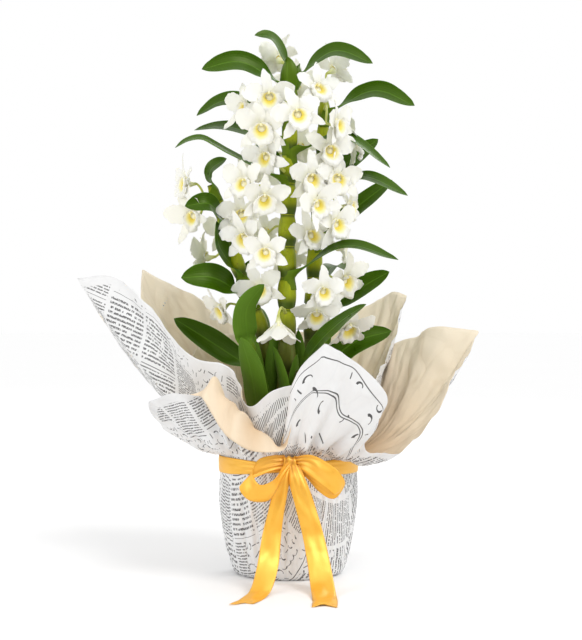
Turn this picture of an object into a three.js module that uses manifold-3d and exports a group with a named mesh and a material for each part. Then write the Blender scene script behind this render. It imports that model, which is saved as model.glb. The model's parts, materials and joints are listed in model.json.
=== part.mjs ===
// Potted Dendrobium nobile orchid in a florist's paper wrap, tied with a ribbon bow.
// Millimetres, +Z up, front towards -Y, +X to the right.
// Origin: middle of the flat base, on the surface that the wrapped pot stands on.

import * as THREE from "three";
import { mergeVertices } from "three/addons/utils/BufferGeometryUtils.js";
import Module from "manifold-3d";

const wasm = await Module();
wasm.setup();

// ---------------------------------------------------------------- driving dimensions

const GAP = 0.35; // clearance between touching pieces

const POT = {
  height: 108, topRadius: 59, bottomRadius: 46, wall: 2, floor: 2.5,
  rimRadius: 61, rimHeight: 6, drainRadius: 4, drainCircle: 26, drains: 4, sides: 32,
};
const SUBSTRATE = { depthBelowRim: 10, sideGap: 1.2, shoulder: 3, crown: 2 };

const PAPER = {
  thickness: 0.8, columns: 60, flatRadius: 40, baseRadius: 48, tieHeight: 112, tieRadius: 63.6,
};
const POT_BASE = 2 * (PAPER.thickness + GAP);
const POT_RIM_TOP = POT_BASE + POT.height;
const SUBSTRATE_TOP = POT_RIM_TOP - SUBSTRATE.depthBelowRim;

const RIBBON_THICKNESS = 0.8;

const NODE_SPACING = 29; // length of one swollen joint of a cane
const FIRST_NODE_HEIGHT = 100;
const CANE_SIDES = 8;

const LEAF = { thickness: 1.5, stations: 7, keel: 0.34 };
const FLOWER = {
  tepalLength: 22.5, tepalWidth: 11, petalWidth: 14, tepalThickness: 1.3,
  lipLength: 13, lipMouth: 7.5, lipThroat: 3, core: 3.4,
};
const TEPALS = { sepalAngles: [0, 128, -128], petalAngles: [66, -66], leaning: 14 };
const STALK = {
  radius: 1.2, peduncleRadius: 1.8, peduncleLength: 4, peduncleRise: 3,
  approach: 11, shoulderShare: 0.55, shoulderRise: 4,
};

// ---------------------------------------------------------------- colours and finishes

const COLOURS = {
  pot: 0x6b4a36, substrate: 0x4a3526, cane: 0x8a9a3a, shoot: 0x4f8a2c, leaf: 0x2c6a1e,
  flower: 0xf7f5ec, paper: 0xecebe8, ribbon: 0xf6ae2d,
};

function material(colour, roughness) {
  return new THREE.MeshStandardMaterial({ color: colour, roughness, metalness: 0 });
}

// ---------------------------------------------------------------- small helpers

const vec = (x, y, z) => new THREE.Vector3(x, y, z);
const vecs = (points) => points.map((p) => vec(...p));
const UP = vec(0, 0, 1);
const radians = THREE.MathUtils.degToRad;

// Unit vector over the floor at an azimuth in degrees: 0 right, 90 back, 180 left, 270 front.
function heading(degrees) {
  return vec(Math.cos(radians(degrees)), Math.sin(radians(degrees)), 0);
}

// Value of a table [[position, value], ...] at a position, linear between its rows.
function tableValue(table, position) {
  let low = table[0];
  for (const row of table) {
    if (row[0] >= position) {
      const span = row[0] - low[0];
      return span === 0 ? row[1] : low[1] + (row[1] - low[1]) * (position - low[0]) / span;
    }
    low = row;
  }
  return low[1];
}

function solidFrom(positions, triangles) {
  const geometry = new THREE.BufferGeometry();
  geometry.setAttribute("position", new THREE.Float32BufferAttribute(positions, 3));
  geometry.setIndex(triangles);
  return solidOf(geometry);
}

function solidOf(geometry) {
  geometry.deleteAttribute("normal");
  geometry.deleteAttribute("uv");
  const merged = mergeVertices(geometry, 1e-4);
  const solid = new wasm.Manifold(new wasm.Mesh({
    numProp: 3,
    vertProperties: new Float32Array(merged.attributes.position.array),
    triVerts: new Uint32Array(merged.index.array),
  }));
  return solid;
}

function geometryOf(solid) {
  const mesh = solid.getMesh();
  const geometry = new THREE.BufferGeometry();
  const positions = new Float32Array(mesh.numVert * 3);
  for (let i = 0; i < mesh.numVert; i += 1) {
    for (let axis = 0; axis < 3; axis += 1) {
      positions[3 * i + axis] = mesh.vertProperties[mesh.numProp * i + axis];
    }
  }
  geometry.setAttribute("position", new THREE.BufferAttribute(positions, 3));
  geometry.setIndex(new THREE.BufferAttribute(new Uint32Array(mesh.triVerts), 1));
  geometry.computeVertexNormals();
  return geometry;
}

const union = (solids) => solids.reduce((sum, solid) => sum.add(solid));

// The largest of the separate pieces that a cut leaves.
function largestPiece(solid) {
  const pieces = solid.decompose();
  return pieces.reduce((best, piece) => (piece.volume() > best.volume() ? piece : best));
}

function centreOf(points) {
  const sum = vec(0, 0, 0);
  points.forEach((p) => sum.add(p));
  return sum.divideScalar(points.length);
}

// Closed solid through rings with the same number of points, ended by fans.
// Each ring runs anticlockwise seen against the loft's direction of travel.
function loft(rings) {
  const count = rings[0].length;
  const positions = [];
  const triangles = [];
  const push = (p) => positions.push(p.x, p.y, p.z);
  rings.forEach((ring) => ring.forEach(push));
  push(centreOf(rings[0]));
  push(centreOf(rings[rings.length - 1]));
  const startIndex = rings.length * count;
  const endIndex = startIndex + 1;
  const last = (rings.length - 1) * count;
  for (let i = 0; i < count; i += 1) {
    const j = (i + 1) % count;
    triangles.push(startIndex, j, i);
    triangles.push(endIndex, last + i, last + j);
    for (let r = 0; r < rings.length - 1; r += 1) {
      const a = r * count;
      const b = a + count;
      triangles.push(a + i, a + j, b + j, a + i, b + j, b + i);
    }
  }
  return solidFrom(positions, triangles);
}

// Two unit vectors square to a direction; the first lies as near as it can to `hint`.
function crossFrame(direction, hint) {
  const side = hint.clone().addScaledVector(direction, -hint.dot(direction)).normalize();
  const normal = direction.clone().cross(side).normalize();
  return { side, normal };
}

function circleRing(centre, direction, radius, sides, hint) {
  const { side, normal } = crossFrame(direction, hint);
  return Array.from({ length: sides }, (_, i) => {
    const angle = 2 * Math.PI * i / sides;
    return centre.clone()
      .addScaledVector(side, radius * Math.cos(angle))
      .addScaledVector(normal, radius * Math.sin(angle));
  });
}

// Round rod along a curve with a radius for each station.
function rod(curve, stations, radiusAt, sides) {
  const hint = Math.abs(curve.getTangentAt(0).x) < 0.8 ? vec(1, 0, 0) : vec(0, 1, 0);
  const rings = stations.map((t) => (
    circleRing(curve.getPointAt(t), curve.getTangentAt(t), radiusAt(t), sides, hint)
  ));
  return loft(rings);
}

const evenStations = (count) => Array.from({ length: count }, (_, i) => i / (count - 1));

// ---------------------------------------------------------------- pot and growing medium

function potSolid() {
  const { height, topRadius, bottomRadius, wall, floor, rimRadius, rimHeight } = POT;
  const profile = [
    [0, 0], [bottomRadius, 0], [topRadius, height - rimHeight], [rimRadius, height - rimHeight],
    [rimRadius, height], [topRadius - wall, height], [bottomRadius - wall, floor], [0, floor],
  ];
  const lathe = new THREE.LatheGeometry(profile.map((p) => new THREE.Vector2(...p)), POT.sides);
  let solid = solidOf(lathe.rotateX(Math.PI / 2));
  for (let i = 0; i < POT.drains; i += 1) {
    const place = heading(45 + 360 * i / POT.drains).multiplyScalar(POT.drainCircle);
    const hole = new THREE.CylinderGeometry(POT.drainRadius, POT.drainRadius, 4 * floor, 12);
    solid = solid.subtract(solidOf(hole.rotateX(Math.PI / 2).translate(place.x, place.y, 0)));
  }
  return solid.translate(0, 0, POT_BASE);
}

function substrateBlock() {
  const bottom = POT_BASE + POT.floor + GAP;
  const slope = (POT.topRadius - POT.bottomRadius) / (POT.height - POT.rimHeight);
  const { sideGap, shoulder, crown } = SUBSTRATE;
  const radiusAt = (z) => POT.bottomRadius - POT.wall + slope * (z - POT_BASE) - sideGap;
  const shoulderHeight = SUBSTRATE_TOP - shoulder;
  const profile = [
    [0, bottom], [radiusAt(bottom), bottom], [radiusAt(shoulderHeight), shoulderHeight],
    [radiusAt(SUBSTRATE_TOP) - shoulder, SUBSTRATE_TOP], [0, SUBSTRATE_TOP + crown],
  ];
  const lathe = new THREE.LatheGeometry(profile.map((p) => new THREE.Vector2(...p)), POT.sides);
  return solidOf(lathe.rotateX(Math.PI / 2));
}

// ---------------------------------------------------------------- canes

// Spine points run up from the root end in the growing medium to the tip.
const CANES = {
  centre: {
    spine: [[-4, -8, 75], [-2, -10, 200], [-1, -10, 320], [3, -8, 470]],
    swell: 8.6, neck: 6.6, tip: 3.6,
  },
  right: {
    spine: [[10, 12, 75], [20, 18, 200], [25, 20, 300], [31, 20, 385], [34, 18, 446]],
    swell: 7.4, neck: 5.8, tip: 3,
  },
  left: {
    spine: [[-8, 6, 75], [-14, 5, 150], [-25, 1, 226], [-47, -3, 285], [-61, -4, 329], [-73, -5, 360]],
    swell: 7, neck: 5.4, tip: 2.6,
  },
  shoot_left: {
    spine: [[-18, -20, 75], [-27, -26, 140], [-36, -31, 218]],
    swell: 4.6, neck: 4.2, tip: 2.6,
  },
  shoot_right: {
    spine: [[6, -24, 75], [3, -30, 140], [9, -35, 190]],
    swell: 4.6, neck: 4.2, tip: 2.6,
  },
};

// Above the start height the joints grow thinner, down to the share at the end height.
const CANE_TAPER = { start: 300, end: 470, share: 0.72 };
const LAST_NODE_BELOW_TIP = 6;
const ROOT_END_SHARE = 0.7; // radius of the root end, as a share of the neck

const caneCurves = Object.fromEntries(
  Object.entries(CANES).map(([name, cane]) => [name, new THREE.CatmullRomCurve3(vecs(cane.spine))]),
);

// Fraction of the cane's length at which it reaches a height.
function fractionAtHeight(curve, height) {
  let low = 0;
  let high = 1;
  for (let i = 0; i < 30; i += 1) {
    const middle = (low + high) / 2;
    if (curve.getPointAt(middle).z < height) {
      low = middle;
    } else {
      high = middle;
    }
  }
  return (low + high) / 2;
}

// A neck at each node and one swelling between two nodes, each as [fraction, radius].
function caneStations(name) {
  const { swell, neck, tip } = CANES[name];
  const curve = caneCurves[name];
  const top = curve.getPointAt(1).z;
  const stations = [[0, neck * ROOT_END_SHARE]];
  let isNeck = true;
  for (let z = FIRST_NODE_HEIGHT; z < top - LAST_NODE_BELOW_TIP; z += NODE_SPACING / 2) {
    const taper = Math.max(0, (z - CANE_TAPER.start) / (CANE_TAPER.end - CANE_TAPER.start));
    const shrink = THREE.MathUtils.lerp(1, CANE_TAPER.share, taper);
    stations.push([fractionAtHeight(curve, z), (isNeck ? neck : swell) * shrink]);
    isNeck = !isNeck;
  }
  stations.push([1, tip]);
  return stations;
}

function caneSolid(name, extra = 0) {
  const curve = caneCurves[name];
  const hint = vec(1, 0, 0);
  const rings = caneStations(name).map(([t, radius]) => (
    circleRing(curve.getPointAt(t), curve.getTangentAt(t), radius + extra, CANE_SIDES, hint)
  ));
  return loft(rings);
}

const caneSolids = Object.fromEntries(Object.keys(CANES).map((name) => [name, caneSolid(name)]));
const caneClearances = union(Object.keys(CANES).map((name) => caneSolid(name, GAP)));

// Whatever grows from a cane starts on its axis and is cut back to the cane's skin.
const seatedOnCane = (solid) => largestPiece(solid.subtract(caneClearances));

// ---------------------------------------------------------------- leaves

// cane, height where the leaf leaves it, points on the midrib out to the tip, full width,
// roll about the midrib in degrees (0: the upper face looks up, 90: towards the front).
const LEAVES = {
  leaf_top_left: ["centre", 458, [[-15, -15, 494], [-31, -20, 496]], 17, 45],
  leaf_crown_left: ["centre", 446, [[-44, -22, 471], [-79, -27, 464]], 23, 60],
  leaf_crown_right: ["centre", 452, [[42, -17, 482], [77, -22, 470]], 20, 50],
  leaf_right_top: ["right", 425, [[80, 9, 449], [117, 0, 434]], 21, 55],
  leaf_left_high: ["centre", 418, [[-57, 14, 441], [-86, 12, 426]], 20, 50],
  leaf_left_upper: ["centre", 396, [[-62, 22, 417], [-89, 27, 414]], 18, 35],
  leaf_left_long: ["centre", 360, [[-57, -26, 389], [-84, -31, 401], [-103, -33, 392]], 16, 25],
  leaf_right_upper: ["centre", 386, [[50, -4, 405], [93, -20, 375]], 17, 30],
  leaf_right_back: ["right", 360, [[64, 44, 391], [86, 52, 408]], 20, 50],
  leaf_right_middle: ["right", 344, [[68, 0, 368], [110, -10, 350]], 18, 30],
  leaf_right_behind: ["right", 308, [[68, 34, 344], [99, 42, 368]], 20, 50],
  leaf_right_long: ["centre", 272, [[52, -36, 303], [99, -46, 290]], 17, 30],
  leaf_left_small: ["centre", 372, [[-27, 14, 395], [-45, 18, 382]], 15, 40],
  leaf_left_tip: ["left", 355, [[-72, -9, 373], [-57, -12, 384]], 17, 60],
  leaf_left_upright: ["left", 318, [[-72, -28, 341], [-94, -34, 339]], 21, 60],
  leaf_left_folded: ["left", 272, [[-64, -22, 304], [-66, -20, 326]], 26, 60],
  leaf_left_broad: ["left", 252, [[-70, -20, 274], [-98, -27, 274]], 28, 65],
  leaf_front_upright: ["shoot_left", 208, [[-38, -45, 246], [-22, -44, 268]], 27, 0],
  leaf_front_low: ["shoot_left", 134, [[-34, -46, 190], [-43, -46, 220]], 29, 0],
  leaf_back_left: ["left", 178, [[-70, 16, 212], [-108, 20, 236]], 26, 60],
  leaf_right_broad: ["right", 236, [[66, 8, 264], [94, 4, 280]], 24, 65],
  leaf_right_front: ["shoot_right", 172, [[22, -40, 208], [47, -42, 234], [70, -47, 250]], 27, 35],
  leaf_front_right: ["shoot_right", 134, [[-6, -42, 182], [-14, -40, 212]], 18, 0],
  leaf_right_low: ["right", 170, [[60, 28, 212], [98, 34, 224]], 27, 60],
  leaf_left_inner: ["left", 236, [[-42, 14, 268], [-36, 16, 291]], 16, 50],
  leaf_back_high: ["centre", 410, [[-8, 42, 430], [-22, 78, 424]], 20, 0],
  leaf_back_middle: ["right", 300, [[34, 66, 327], [30, 100, 318]], 21, 0],
  leaf_back_low: ["left", 204, [[-34, 52, 240], [-48, 84, 246]], 24, 0],
  leaf_back_right: ["right", 258, [[44, 62, 286], [64, 92, 280]], 22, 0],
};

// Half width along the blade, as a share of its full width.
const BLADE_OUTLINE = [
  [0, 0.16], [0.12, 0.24], [0.3, 0.42], [0.5, 0.5], [0.72, 0.44], [0.88, 0.27], [1, 0.03],
];

function leafCurve(cane, height, midrib) {
  const axis = caneCurves[cane];
  const root = axis.getPointAt(fractionAtHeight(axis, height));
  return new THREE.CatmullRomCurve3([root, ...vecs(midrib)]);
}

// The blade is a shallow gutter: two edges, the midrib's top and the keel under it.
function leafSolid([cane, height, midrib, width, roll]) {
  const curve = leafCurve(cane, height, midrib);
  const course = curve.getPointAt(1).sub(curve.getPointAt(0)).setZ(0).normalize();
  const level = UP.clone().cross(course);
  const turn = radians(roll) * Math.sign(course.x);
  const rings = evenStations(LEAF.stations).map((t) => {
    const along = curve.getTangentAt(t);
    const { side } = crossFrame(along, level);
    side.applyAxisAngle(along, turn);
    const upward = along.clone().cross(side);
    const half = width * tableValue(BLADE_OUTLINE, t);
    const lift = half * LEAF.keel;
    const thickness = Math.min(LEAF.thickness, half);
    const centre = curve.getPointAt(t);
    const place = (across, high) => centre.clone()
      .addScaledVector(side, across).addScaledVector(upward, high);
    return [place(half, lift), place(0, 0), place(-half, lift), place(0, -thickness)];
  });
  return seatedOnCane(orientedLoft(rings));
}

// Same loft, with the rings turned round when they were listed clockwise.
function orientedLoft(rings) {
  const solid = loft(rings);
  if (solid.volume() > 0) {
    return solid;
  }
  return loft(rings.map((ring) => [...ring].reverse()));
}

// ---------------------------------------------------------------- flowers

// Each spray: cane, height of the node it grows from, and its flowers as
// [centre, azimuth it faces, elevation it faces, roll], angles in degrees.
const SPRAYS = {
  spray_crown: ["centre", 442, [[[-17, -42, 437], 265, 0, 0], [[8, -56, 420], 278, 5, 20]]],
  spray_top_left: ["centre", 430, [[[-39, -22, 430], 205, 10, 10], [[-24, -50, 408], 262, -8, 0]]],
  spray_top_back: ["centre", 452, [[[-10, 16, 480], 130, 30, 0], [[8, 40, 456], 85, 10, 0]]],
  spray_right_top: ["right", 432, [
    [[27, -26, 446], 300, 25, 0], [[44, -24, 415], 330, 0, 15], [[43, 14, 470], 30, 30, 0],
  ]],
  spray_upper_left: ["centre", 372, [[[-20, -40, 383], 238, 0, 10]]],
  spray_right_upper: ["right", 396, [[[38, -20, 391], 292, 5, 0], [[61, 18, 400], 5, 10, 0]]],
  spray_right_high: ["right", 352, [[[20, -34, 364], 300, 0, 0], [[56, -6, 341], 340, 0, 0]]],
  spray_right_middle: ["right", 338, [[[25, -49, 340], 302, 0, 25]]],
  spray_centre_high: ["centre", 346, [[[-40, -44, 359], 235, 10, 0], [[-22, -54, 345], 290, -20, 0]]],
  spray_left_tip: ["left", 338, [[[-94, -10, 362], 205, 5, 0], [[-88, -8, 332], 230, -10, 20]]],
  spray_left_inner: ["left", 312, [[[-43, -20, 332], 265, 10, 0], [[-40, -36, 311], 240, -10, 10]]],
  spray_centre_middle: ["centre", 300, [[[-20, -58, 297], 250, -5, 0]]],
  spray_right_centre: ["right", 306, [[[20, -26, 313], 300, 14, 20], [[48, -6, 303], 350, 0, 0]]],
  spray_right_lower: ["right", 268, [[[31, -45, 262], 292, -5, 0], [[52, -10, 272], 320, -5, 15]]],
  spray_right_low: ["right", 220, [[[26, -19, 241], 270, -25, 0], [[56, 4, 228], 300, -40, 0]]],
  spray_left_back: ["left", 290, [[[-78, 12, 294], 160, 0, 0], [[-60, 36, 318], 120, 5, 0]]],
  spray_left_low: ["left", 234, [[[-62, -12, 246], 215, -25, 0], [[-26, -18, 264], 255, 0, 20]]],
  spray_centre_low: ["centre", 242, [[[-9, -50, 231], 270, -76, 0]]],
  spray_back_upper: ["centre", 388, [[[-26, 36, 380], 110, 0, 0], [[12, 52, 400], 80, 5, 0]]],
  spray_back_centre: ["centre", 316, [[[-22, 40, 318], 115, -5, 0], [[4, 56, 298], 90, 0, 0]]],
  spray_back_right: ["right", 378, [[[40, 62, 376], 65, 5, 0], [[22, 66, 357], 95, 0, 0]]],
};

// A flat kite-shaped tepal lying along +X from the flower's heart, facing +Z.
function tepalSolid(length, width) {
  const rise = FLOWER.tepalThickness / 2;
  const ring = [vec(0, 0, 0), vec(length * 0.55, -width / 2, 0), vec(length, 0, 0),
    vec(length * 0.55, width / 2, 0)];
  const ridge = vec(length * 0.4, 0, 0);
  const top = ridge.clone().setZ(rise);
  const under = ridge.clone().setZ(-rise);
  const positions = [...ring, top, under].flatMap((p) => [p.x, p.y, p.z]);
  const triangles = [];
  for (let i = 0; i < ring.length; i += 1) {
    const j = (i + 1) % ring.length;
    triangles.push(i, j, ring.length, j, i, ring.length + 1);
  }
  return solidFrom(positions, triangles);
}

// The flower at the origin, facing +Z with its top sepal along +X.
function makeFlowerBlank() {
  const sepal = tepalSolid(FLOWER.tepalLength, FLOWER.tepalWidth);
  const petal = tepalSolid(FLOWER.tepalLength, FLOWER.petalWidth);
  const { sepalAngles, petalAngles, leaning } = TEPALS;
  const spread = (blank, angle) => blank.rotate(0, -leaning, 0).rotate(0, 0, angle);
  const mouth = [0, 1, 2, 3, 4].map((i) => {
    const angle = 2 * Math.PI * i / 5;
    return [Math.cos(angle), Math.sin(angle)];
  });
  const ringAt = (x, z, radius) => mouth.map(([c, s]) => vec(x + radius * c, radius * s, z));
  const lip = loft([
    ringAt(-1, -FLOWER.core, FLOWER.lipThroat),
    ringAt(-2, 3, FLOWER.lipThroat * 1.5),
    ringAt(-4.5, FLOWER.lipLength, FLOWER.lipMouth),
  ]);
  return union([
    lip,
    ...sepalAngles.map((angle) => spread(sepal, angle)),
    ...petalAngles.map((angle) => spread(petal, angle)),
  ]);
}

const flowerBlank = makeFlowerBlank();

// Direction that a flower faces.
function facing(azimuth, elevation) {
  const flat = heading(azimuth).multiplyScalar(Math.cos(radians(elevation)));
  return flat.setZ(Math.sin(radians(elevation)));
}

function placedFlower([centre, azimuth, elevation, roll]) {
  const forward = facing(azimuth, elevation);
  const { side } = crossFrame(forward, UP);
  side.applyAxisAngle(forward, radians(roll));
  const across = forward.clone().cross(side);
  const matrix = new THREE.Matrix4().makeBasis(side, across, forward);
  matrix.setPosition(vec(...centre));
  return flowerBlank.transform(matrix.elements);
}

// A bent stalk from the spray's fork to the back of the flower, where it enters the heart.
function pedicel(start, [centre, azimuth, elevation]) {
  const forward = facing(azimuth, elevation);
  const end = vec(...centre).addScaledVector(forward, 1 - FLOWER.core);
  const behind = end.clone().addScaledVector(forward, -STALK.approach);
  const shoulder = start.clone().lerp(behind, STALK.shoulderShare);
  shoulder.z += STALK.shoulderRise;
  const curve = new THREE.CatmullRomCurve3([start, shoulder, behind, end]);
  return rod(curve, evenStations(5), () => STALK.radius, 4);
}

function spraySolid([cane, height, flowers]) {
  const axis = caneCurves[cane];
  const start = axis.getPointAt(fractionAtHeight(axis, height));
  const middle = centreOf(flowers.map(([centre]) => vec(...centre)));
  const outward = middle.clone().sub(start).setZ(0).normalize();
  const fork = start.clone().addScaledVector(outward, CANES[cane].swell + STALK.peduncleLength);
  fork.z += STALK.peduncleRise;
  const stalk = new THREE.LineCurve3(start, fork.clone().addScaledVector(outward, 1));
  const peduncle = rod(stalk, [0, 1], () => STALK.peduncleRadius, 5);
  const solids = flowers.flatMap((flower) => [placedFlower(flower), pedicel(fork, flower)]);
  return seatedOnCane(union([peduncle, ...solids]));
}

// ---------------------------------------------------------------- paper wrap

// Height and radius of the wrap's wall below the tie, outside face of the outer sheet.
const WRAP_WALL = [[3, 51.6], [28, 57.6], [62, 62.6], [90, 63.6]];

// Each rib of a sheet leaves the tie at an azimuth and ends at the sheet's edge:
// [azimuth, edge point, slope at the tie in degrees, slope at the edge in degrees] and,
// where the sheet rises higher before it folds over, the curve's handles as a share of its reach.
const OUTER_SHEET_RIBS = [
  [4, [140, 36, 228], 22, 62], [14, [120, 56, 218], 26, 64], [24, [104, 66, 211], 34, 66],
  [44, [86, 84, 190], 40, 62], [62, [60, 102, 192], 42, 60], [80, [26, 116, 204], 42, 60],
  [98, [-16, 118, 210], 42, 60], [114, [-60, 112, 230], 40, 62], [124, [-88, 104, 252], 38, 62],
  [132, [-118, 97, 270], 36, 60], [138, [-143, 86, 285], 36, 60], [148, [-142, 64, 250], 32, 54],
  [160, [-126, 38, 192], 24, 44], [172, [-110, 12, 150], 14, 36], [184, [-106, -14, 134], 10, 30],
  [195, [-114, -38, 142], 10, 32], [204, [-126, -56, 160], 12, 34], [211, [-112, -68, 168], 18, 44],
  [218, [-96, -78, 173], 28, 40], [226, [-79, -91, 172], 48, -46, 0.66], [233, [-67, -103, 156], 62, -70, 0.74],
  [241, [-53, -107, 136], 74, -80, 0.76], [249, [-33, -102, 124], 78, -80, 0.8],
  [256, [-12, -92, 122], 78, -60, 0.74],
  [261, [-1, -82, 132], 62, 20, 0.5], [265, [4, -86, 168], 60, 76], [269, [10, -94, 194], 58, 78],
  [276, [32, -104, 217], 52, 74], [283, [50, -107, 206], 46, 70], [291, [68, -107, 193], 42, 66],
  [299, [86, -99, 170], 26, 60], [306, [79, -86, 148], 10, 58], [312, [68, -73, 124], -12, 34],
  [318, [88, -65, 117], -18, 26], [325, [112, -57, 129], -14, 38], [332, [132, -42, 153], -2, 48],
  [340, [150, -24, 180], 8, 54], [348, [170, -2, 208], 16, 58], [354, [180, 14, 224], 18, 58],
];
const INNER_SHEET_RIBS = [
  [0, [86, 22, 186], 56, 66], [16, [92, 44, 196], 56, 68], [28, [101, 60, 212], 54, 68],
  [38, [110, 74, 236], 52, 68], [46, [116, 86, 258], 52, 68], [56, [102, 97, 260], 54, 68],
  [68, [74, 104, 246], 56, 68], [88, [24, 104, 224], 58, 68], [108, [-30, 100, 222], 58, 68],
  [128, [-70, 80, 218], 58, 68], [146, [-88, 54, 206], 58, 66], [162, [-96, 28, 184], 52, 58],
  [174, [-110, 2, 168], 50, 56], [182, [-132, -8, 184], 46, 52], [188, [-154, -6, 206], 44, 52],
  [193, [-174, 0, 238], 44, 54], [198, [-196, 2, 274], 44, 56], [203, [-164, -10, 275], 48, 60],
  [208, [-134, -22, 254], 50, 64], [215, [-110, -34, 224], 56, 66], [222, [-84, -46, 203], 62, 68],
  [229, [-60, -56, 197], 66, 74], [235, [-47, -61, 190], 70, 78], [241, [-42, -65, 168], 70, 78],
  [247, [-32, -68, 160], 70, 78], [256, [-14, -71, 174], 68, 78], [266, [10, -74, 180], 66, 78],
  [278, [34, -76, 184], 62, 76], [292, [52, -70, 176], 58, 72], [306, [62, -58, 158], 54, 64],
  [322, [72, -40, 150], 50, 60], [340, [80, -12, 166], 54, 64],
];

// Periodic value at an azimuth by a Catmull-Rom spline through evenly weighted rows.
function periodicValue(rows, azimuth, pick) {
  const count = rows.length;
  let index = rows.findIndex((row) => row[0] > azimuth);
  if (index < 0) index = count;
  const row = (k) => rows[(k + count) % count];
  const azimuthOf = (k) => row(k)[0] + 360 * Math.floor(k / count);
  const start = azimuthOf(index - 1);
  const end = azimuthOf(index);
  const turned = azimuth < start ? azimuth + 360 : azimuth;
  const t = (turned - start) / (end - start);
  const [p0, p1, p2, p3] = [-2, -1, 0, 1].map((step) => pick(row(index + step)));
  const m1 = (p2 - p0) / 2;
  const m2 = (p3 - p1) / 2;
  return (2 * t ** 3 - 3 * t ** 2 + 1) * p1 + (t ** 3 - 2 * t ** 2 + t) * m1
    + (-2 * t ** 3 + 3 * t ** 2) * p2 + (t ** 3 - t ** 2) * m2;
}

const FLARE_STEPS = 4;
const FLARE_HANDLE = 0.36; // length of the flare curve's handles, as a share of its reach

// Centre, wall, tie and flare points of a sheet's middle surface at one azimuth.
function sheetColumn(ribs, inset, azimuth) {
  const out = heading(azimuth);
  const at = (radius, z) => out.clone().multiplyScalar(radius).setZ(z);
  const column = [at(PAPER.flatRadius, inset), at(PAPER.baseRadius - inset, inset)];
  WRAP_WALL.forEach(([z, radius]) => column.push(at(radius - inset, z + inset)));
  const tie = at(PAPER.tieRadius - inset, PAPER.tieHeight + inset);
  const edge = vec(
    periodicValue(ribs, azimuth, (rib) => rib[1][0]),
    periodicValue(ribs, azimuth, (rib) => rib[1][1]),
    periodicValue(ribs, azimuth, (rib) => rib[1][2]),
  );
  const tieSlope = radians(periodicValue(ribs, azimuth, (rib) => rib[2]));
  const edgeSlope = radians(periodicValue(ribs, azimuth, (rib) => rib[3]));
  const handle = periodicValue(ribs, azimuth, (rib) => rib[4] ?? FLARE_HANDLE);
  const reach = tie.distanceTo(edge);
  const outward = edge.clone().sub(tie).setZ(0).normalize();
  const leaving = out.clone().multiplyScalar(Math.cos(tieSlope)).setZ(Math.sin(tieSlope));
  const arriving = outward.multiplyScalar(Math.cos(edgeSlope)).setZ(Math.sin(edgeSlope));
  const flare = new THREE.CubicBezierCurve3(
    tie,
    tie.clone().addScaledVector(leaving, reach * handle),
    edge.clone().addScaledVector(arriving, -reach * handle),
    edge,
  );
  for (let i = 0; i <= FLARE_STEPS; i += 1) {
    column.push(flare.getPoint(i / FLARE_STEPS));
  }
  return column;
}

// The middle surface is thickened both ways along its vertex normals.
function sheetSolid(ribs, inset) {
  const columns = Array.from({ length: PAPER.columns }, (_, i) => (
    sheetColumn(ribs, inset + PAPER.thickness / 2, 360 * i / PAPER.columns)
  ));
  const rows = columns[0].length;
  const middle = columns.flat();
  const centre = vec(0, 0, inset + PAPER.thickness / 2);
  const index = (c, r) => (c % PAPER.columns) * rows + r;
  const faces = [];
  for (let c = 0; c < PAPER.columns; c += 1) {
    faces.push([middle.length, index(c, 0), index(c + 1, 0)]);
    for (let r = 0; r < rows - 1; r += 1) {
      faces.push([index(c, r), index(c, r + 1), index(c + 1, r + 1)]);
      faces.push([index(c, r), index(c + 1, r + 1), index(c + 1, r)]);
    }
  }
  const points = [...middle, centre];
  const normals = vertexNormals(points, faces);
  const half = PAPER.thickness / 2;
  const shifted = (sign) => points.map((p, i) => p.clone().addScaledVector(normals[i], sign * half));
  const positions = [...shifted(-1), ...shifted(1)].flatMap((p) => [p.x, p.y, p.z]);
  const other = points.length;
  const triangles = faces.flatMap(([a, b, c]) => [a, b, c, other + c, other + b, other + a]);
  for (let c = 0; c < PAPER.columns; c += 1) {
    const a = index(c, rows - 1);
    const b = index(c + 1, rows - 1);
    triangles.push(a, other + a, other + b, a, other + b, b);
  }
  const solid = solidFrom(positions, triangles);
  return solid.volume() > 0 ? solid : solidFrom(positions, [...triangles].reverse());
}

function vertexNormals(points, faces) {
  const normals = points.map(() => vec(0, 0, 0));
  faces.forEach(([a, b, c]) => {
    const normal = points[b].clone().sub(points[a]).cross(points[c].clone().sub(points[a]));
    [a, b, c].forEach((i) => normals[i].add(normal));
  });
  return normals.map((normal) => normal.normalize());
}

// ---------------------------------------------------------------- ribbon

// A strip through stations [centre, vector across the strip], with square edges.
function stripSolid(stations, thickness = RIBBON_THICKNESS) {
  const centres = stations.map(([centre]) => vec(...centre));
  const rings = stations.map(([, across], i) => {
    const before = centres[Math.max(0, i - 1)];
    const after = centres[Math.min(centres.length - 1, i + 1)];
    const along = after.clone().sub(before).normalize();
    const half = vec(...across).multiplyScalar(0.5);
    const normal = along.clone().cross(half).normalize().multiplyScalar(thickness / 2);
    return [
      centres[i].clone().add(half).add(normal), centres[i].clone().sub(half).add(normal),
      centres[i].clone().sub(half).sub(normal), centres[i].clone().add(half).sub(normal),
    ];
  });
  return orientedLoft(rings);
}

const BAND = {
  radius: PAPER.tieRadius + 0.6, sides: 36, width: 15, knotWidth: 8, gatheredDegrees: 60,
  knotHeight: 104, backHeight: 101,
};

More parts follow.
